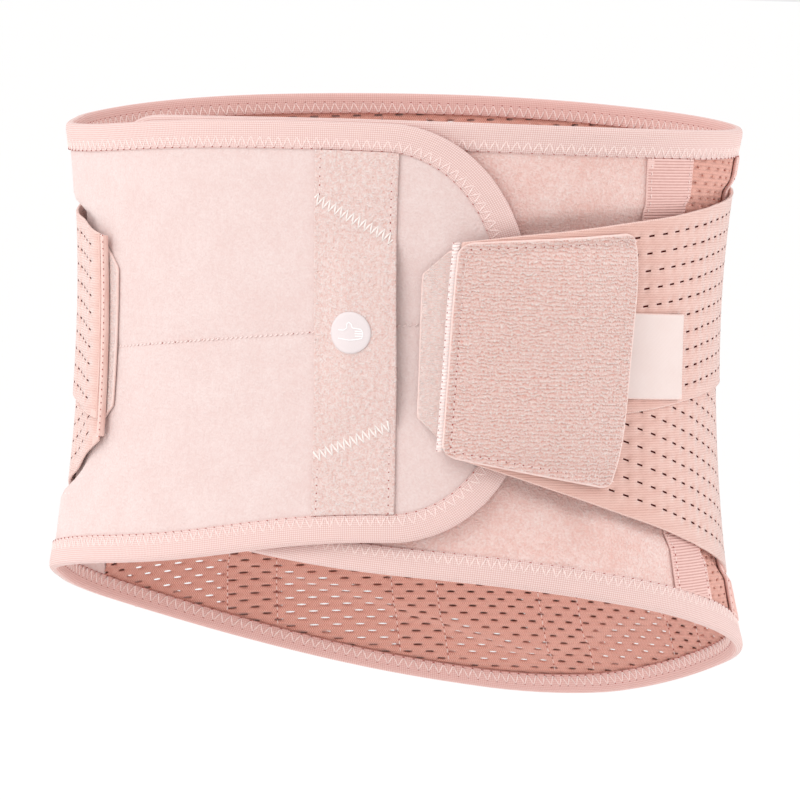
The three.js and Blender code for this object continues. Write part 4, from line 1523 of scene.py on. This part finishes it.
def band_sag(side, distance):
    """The band dips a little between the seam tape and the stay sleeves, which carry it."""
    belt = half_girth - distance
    carried = 1 - ease_step(tape_carries, tape_lets_go, np.abs(distance - side_seam_place))
    carried = np.maximum(carried, 1 - ease_step(strap_settle_place, side_seam_place, distance))
    for index in range(-2, 3):
        middle = side * (-centre_back_shift) - index * stay_channel_pitch
        near = 1 - ease_step(sleeve_carries, sleeve_lets_go, np.abs(belt + middle))
        carried = np.maximum(carried, near)
    return -band_dip * (1 - carried)


def webbing_pattern(tree, cloth):
    where = put(tree, "ShaderNodeSeparateXYZ", {0: cloth})
    ribs = wave(tree, where.outputs["Y"], 1.0)
    slant = calc(tree, "MULTIPLY", where.outputs["Y"], 0.5)
    picks = wave(tree, calc(tree, "ADD", where.outputs["X"], slant), 0.62)
    bars = wave(tree, where.outputs["Y"], 7.0)
    worn = noise(tree, cloth, 0.35, 3.0)
    return weighted(tree, (ribs, 0.42), (picks, 0.2), (bars, 0.18), (worn, 0.3))


webbing_finish = cloth_material(
    "slotted webbing", (0.80, 0.515, 0.45), (0.61, 0.305, 0.245), 0.85, 0.75, webbing_pattern, 0.3
)
webbing_edge_finish = cloth_material(
    "webbing selvage", (0.83, 0.60, 0.54), (0.73, 0.44, 0.38), 0.85, 0.6, rib_pattern(0.9, 0.5, "X"), 0.2
)
slot_finish = cloth_material(
    "slot shade", (0.15, 0.012, 0.012), (0.10, 0.008, 0.008), 1.0, 0.0, speckle(1.0), 0.02
)


def band_grid(start, stop, width):
    """Grid lines along and across a band, which outline its slots, and the cells that are slots."""
    first = start + band_plain_end
    count = int((stop - band_plain_end - first) / band_slot_pitch)
    marks = [start, start + band_rim_near, start + band_rim, start + band_end_mark]
    slots_x = []
    for k in range(count):
        at = first + k * band_slot_pitch
        slots_x.append(len(marks))
        marks += [at, at + band_slot_length, at + 0.5 * (band_slot_pitch + band_slot_length)]
    marks += [stop - band_end_mark, stop - band_rim, stop - band_rim_near, stop]
    margin = (width - (band_rows_count - 1) * band_row_pitch) / 2
    rows = [0.0, band_rim_near, band_rim, margin / 2]
    slots_y = []
    for k in range(band_rows_count):
        at = margin + k * band_row_pitch
        slots_y.append(len(rows))
        rows += [at - band_slot_height / 2, at + band_slot_height / 2]
        if k + 1 < band_rows_count:
            rows.append(at + band_row_pitch / 2)
    rows += [width - margin / 2, width - band_rim, width - band_rim_near, width]
    pits = np.zeros((len(marks) - 1, len(rows) - 1), dtype=bool)
    pits[np.ix_(slots_x, slots_y)] = True
    return np.array(marks), np.array(rows), pits


def band_sheet(name, side, upper):
    start = strap_end_place + end_strip_width + layer_gap
    stop = half_girth - side * centre_back_shift - layer_gap
    width = upper_band_width if upper else lower_band_width
    marks, rows, pits = band_grid(start, stop, width)
    if side < 0:
        marks = -marks[::-1]
        pits = pits[::-1]

    def shape(x, y):
        distance = np.abs(x)
        height = band_heights(side, upper, distance)[0] + y
        lean = start - strap_edge(side, height)
        distance = distance - lean * (1 - ease_step(start, start + band_lean_reach, distance))
        return side * distance, height, band_sag(side, distance) + 0 * y

    return flat_sheet(
        name,
        marks,
        rows,
        band_wall,
        band_rim,
        shape,
        [webbing_finish, webbing_edge_finish, slot_finish],
        band_selvage,
        pits,
    )


for word, side in (("left", 1), ("right", -1)):
    reach = hook_pad_reach if side > 0 else right_pad_reach
    start = strap_end_place - reach
    pad_stop = strap_end_place - hook_pad_reach + hook_pad_length
    pad_top = strap_end_top - strap_drop(side) - hook_pad_inset
    pad_foot = pad_top - strap_end_height + 2 * hook_pad_inset
    pad_box = tuple(sorted((side * start, side * pad_stop))) + (pad_foot, pad_top)
    pad = flat_sheet(
        word + "_hook_tape",
        lines(pad_box[0], pad_box[1], hook_pad_step, hook_pad_rim),
        lines(pad_box[2], pad_box[3], hook_pad_step, hook_pad_rim),
        hook_pad_wall,
        hook_pad_rim,
        lambda x, y, box=pad_box: (*soft_corners(x, y, box, hook_pad_corner, True), 0 * x),
        [hook_finish, pale_rim_finish],
        hook_pad_trim,
    )
    wear(pad, girth_seat(lambda x, y, side=side: strap_lay(side, np.abs(x))))
    keep(pad, [word + "_hook_pad"])
    for layer, upper in (("lower", False), ("upper", True)):
        band = band_sheet(f"{word}_{layer}_webbing", side, upper)
        wear(band, girth_seat(lambda x, y, side=side, upper=upper: band_lay(side, np.abs(x), upper)))
        keep(band, [f"{word}_{layer}_band"])

# Overlocked ends: at each strap's end the two bands are bound together by an overlock seam. The
# left one's white thread stands on the edge, and the right one's is drawn into the webbing.
overlock_rim = 0.8 * mm
overlock_step_across = 0.6 * mm
overlock_step_along = 2 * mm
overlock_hole_shift = 1 * mm
overlock_steps = 60
right_thread_sink = 0.25 * mm
strip_wall = 2 * band_wall + layer_gap
overlock_finish = cloth_material(
    "overlock", (0.97, 0.90, 0.88), (0.90, 0.74, 0.71), 0.8, 0.2, rib_pattern(1.3, 0.7), 0.35
)
overlock_stitch = grain_sizes(1.35, 0.55, 3.3, 0.55, 0.25)
overlock_dots = grain_sizes(2.7, 0.65, 0.5, 0.5)


def strip_middle(side, height):
    return side * (strap_edge(side, height) - layer_gap - end_strip_width / 2)


for word, side in (("left", 1), ("right", -1)):
    strip_top = strap_end_top - strap_drop(side)
    strip_foot = strip_top - strap_end_height
    strip = flat_sheet(
        word + "_overlock",
        lines(-end_strip_width / 2, end_strip_width / 2, overlock_step_across, overlock_rim),
        lines(strip_foot, strip_top, overlock_step_along, overlock_rim),
        strip_wall,
        overlock_rim,
        lambda x, y, side=side: (strip_middle(side, y) + x, y, 0 * x),
        [overlock_finish if side > 0 else webbing_edge_finish],
    )
    strip_seat = girth_seat(lambda x, y, side=side: band_lay(side, np.abs(x), False))
    wear(strip, strip_seat)
    keep(strip, [word + "_end_strip"])
    thread_ends = [(strip_middle(side, height), height) for height in (strip_foot, strip_top)]
    thread_rise = strip_wall - (0.0 if side > 0 else right_thread_sink)
    over = straight(thread_ends[0], thread_ends[1], thread_rise, overlock_steps)
    stitched(word + "_overlock_thread", [over], stitch_tree, overlock_stitch, thread_finish, strip_seat)
    hole_ends = [(place - side * overlock_hole_shift, height) for place, height in thread_ends]
    dots = straight(hole_ends[0], hole_ends[1], strip_wall, overlock_steps)
    stitched(word + "_overlock_holes", [dots], stitch_tree, overlock_dots, painted_hole_shade, strip_seat)

# Back strip: a ribbed tape at the middle of the back. It covers the ends of the four bands, and is
# sewn down along both edges.
centre_strip_width = 26 * mm
centre_strip_inset = 1.5 * mm
centre_strip_settle = 25 * mm
stop = half_girth - centre_back_shift
upper_ends = band_heights(1, True, np.array(stop))
lower_ends = band_heights(1, False, np.array(stop))
strip_foot = lower_ends[0] + centre_strip_inset
strip_top = upper_ends[1] - centre_strip_inset


def back_strip_low(height):
    layer = band_wall + layer_gap
    doubled = ease_step(lower_ends[1], upper_ends[0] - centre_strip_settle, height)
    return back_stack + layer + layer * doubled


back_strip = leaning_sheet(
    "back_strip",
    centre_back_shift,
    centre_strip_width,
    0.0,
    lambda belt: (strip_foot + 0 * belt, strip_top + 0 * belt),
    tape_wall,
    no_relief,
    [tape_finish, selvage_finish],
    selvage,
)
wear(back_strip, lambda x, y: (x - half_girth, y, back_strip_low(y)))
keep(back_strip, ["centre_back_strip"])
strip_runs = []
for edge in (-1, 1):
    place = centre_back_shift + edge * (centre_strip_width / 2 - tape_stitch_inset)
    strip_runs.append(((place, strip_foot), (place, strip_top)))
strip_stitch_seat = lambda x, y: (x - half_girth, y, back_strip_low(y) + tape_wall)
lockstitch("back_strip", strip_runs, strip_stitch_seat)

# Pull pocket: ribbed napped knit with a rolled pale edge, on the end of the left strap. It is sewn
# down along the top, the foot and the strap's end, and open towards the back with a turned hem.
pocket_wall = 1.5 * mm
pocket_length = 67.5 * mm
pocket_height = 98 * mm
pocket_flare_up = 6 * mm
pocket_flare_down = 12.5 * mm
pocket_drop = 1.5 * mm
pocket_lean = 6 / 95
pocket_room = 6.4 * mm
pocket_seam = 5 * mm
pocket_rise_share = 0.55
pocket_stitch_inset = 3.3 * mm
pocket_stitch_sink = 0.45 * mm
pocket_hem = 4.7 * mm
pocket_corner = 6 * mm
pocket_rim = 0.75 * mm
pocket_trim = 1 * mm
pocket_overhang = 1 * mm
pocket_step_across = 0.8 * mm
pocket_step_along = 1 * mm
pocket_groove = 0.55 * mm
pocket_groove_width = 0.8 * mm
pocket_crease = 0.35 * mm
pocket_puff = 0.5 * mm
pocket_puff_reach = 12 * mm
pocket_roll = 0.35 * mm
pocket_roll_middle = 1.2 * mm
pocket_roll_width = 0.9 * mm


def ribbed_nap(tree, cloth):
    where = put(tree, "ShaderNodeSeparateXYZ", {0: cloth})
    wobble = calc(tree, "MULTIPLY", noise(tree, cloth, 0.35, 2.0), 2.6)
    ribs = wave(tree, calc(tree, "ADD", where.outputs["Y"], wobble), 1.5)
    fine = noise(tree, cloth, 1.4, 3.0)
    tufts = noise(tree, cloth, 0.7, 2.0)
    return clipped(tree, weighted(tree, (ribs, 0.38), (fine, 1.0), (tufts, 0.6)), 0.55)


pocket_finish = cloth_material(
    "pocket nap", (0.98, 0.85, 0.81), (0.79, 0.37, 0.30), 1.0, 0.3, ribbed_nap, 0.9
)


def pocket_heights(distance):
    share = (distance - strap_end_place) / pocket_length
    foot = strap_end_top - strap_end_height - pocket_drop - pocket_flare_down * share
    return foot, strap_end_top + pocket_flare_up * share


def pocket_lift(place, height):
    foot, top = pocket_heights(place)
    middle = (foot + top) / 2
    half = (top - foot) / 2 - pocket_seam
    along = np.clip((height - middle) / half, -1, 1)
    start = strap_end_place + pocket_seam
    rise = ease_step(start, start + pocket_length * pocket_rise_share, place)
    return pocket_room * rise * (1 - np.abs(along) ** lift_squareness)


def band_face(place):
    return band_lay(1, place, True) + band_wall + layer_gap


pocket_start = strap_edge(1, strap_end_top)
pocket_stop = strap_end_place + pocket_length
pocket_box = (pocket_start, pocket_stop, 0.0, pocket_height)


def pocket_point(x, y):
    """Where a point of the flat pocket lies, between the strap's end and the leaning open edge."""
    foot, top = pocket_heights(x)
    height = foot + (top - foot) * y / pocket_height
    closed_edge = strap_edge(1, height) - pocket_overhang
    open_edge = pocket_stop - pocket_lean * (strap_end_top - height)
    share = (x - pocket_start) / (pocket_stop - pocket_start)
    return closed_edge + (open_edge - closed_edge) * share, height


def pocket_shape(x, y):
    edge = np.minimum.reduce([x - pocket_start, y, pocket_height - y])
    groove = pocket_groove * np.exp(-(((edge - pocket_stitch_inset) / pocket_groove_width) ** 2))
    hem = pocket_stop - pocket_hem - x
    crease = pocket_crease * np.exp(-((hem / pocket_groove_width) ** 2))
    puff = pocket_puff * ease_step(pocket_stitch_inset, pocket_puff_reach, edge)
    roll = pocket_roll * np.exp(-(((edge - pocket_roll_middle) / pocket_roll_width) ** 2))
    x, y = soft_corners(x, y, pocket_box, pocket_corner)
    return *pocket_point(x, y), puff + roll - groove - crease


pocket_cloth = flat_sheet(
    "pocket_cloth",
    lines(pocket_start, pocket_stop, pocket_step_across, pocket_rim),
    lines(0.0, pocket_height, pocket_step_along, pocket_rim),
    pocket_wall,
    pocket_rim,
    pocket_shape,
    [pocket_finish, pale_rim_finish],
    pocket_trim,
)
wear(pocket_cloth, girth_seat(lambda x, y: band_face(x) + pocket_lift(x, y)))
keep(pocket_cloth, ["pull_pocket"])

seam_place = pocket_start + pocket_stitch_inset
seam_end = pocket_stop - pocket_trim
seam_foot = pocket_stitch_inset
seam_top = pocket_height - pocket_stitch_inset
pocket_runs = [
    (pocket_point(seam_place, seam_foot), pocket_point(seam_place, seam_top)),
    (pocket_point(seam_place, seam_foot), pocket_point(seam_end, seam_foot)),
    (pocket_point(seam_place, seam_top), pocket_point(seam_end, seam_top)),
]
pocket_stitch_rise = pocket_wall - pocket_stitch_sink
pocket_seat = girth_seat(lambda x, y: band_face(x) + pocket_lift(x, y) + pocket_stitch_rise)
lockstitch("pocket", pocket_runs, pocket_seat)

# Side label: a bare satin ribbon behind the pocket's open edge. Its near end is tucked in under
# the pocket's hem, and its far end curls off the strap a little.
label_wall = 1 * mm
label_length = 28 * mm
label_height = 34 * mm
label_middle = 12 * mm
label_slant = 1 * mm
label_tuck = 2 * mm
label_curl = 0.9 * mm
label_wave = 0.25 * mm
label_step = 1.5 * mm
label_rim = 0.45 * mm
label_trim = 0.5 * mm
label_start = pocket_stop - label_tuck


def satin_pattern(tree, cloth):
    where = put(tree, "ShaderNodeSeparateXYZ", {0: cloth})
    slant = calc(tree, "MULTIPLY", where.outputs["X"], 0.25)
    floats = wave(tree, calc(tree, "ADD", where.outputs["Y"], slant), 0.5)
    soft = noise(tree, cloth, 0.12, 2.0)
    return weighted(tree, (floats, 0.5), (soft, 0.6))


satin_finish = cloth_material(
    "satin ribbon", (0.79, 0.665, 0.635), (0.745, 0.59, 0.55), 0.42, 0.1, satin_pattern, 0.05
)


def label_shape(x, y):
    share = x / label_length
    ripple = np.sin(math.pi * share) * np.cos(3 * math.pi * y / label_height)
    rise = label_curl * share ** 2 + label_wave * ripple
    return label_start + x, label_middle + y - label_slant * share, rise


side_label = flat_sheet(
    "satin_label",
    lines(0.0, label_length, label_step, label_rim),
    lines(-label_height / 2, label_height / 2, label_step, label_rim),
    label_wall,
    label_rim,
    label_shape,
    [satin_finish, pale_rim_finish],
    label_trim,
)
wear(side_label, girth_seat(lambda x, y: band_face(x)))
keep(side_label, ["side_label"])
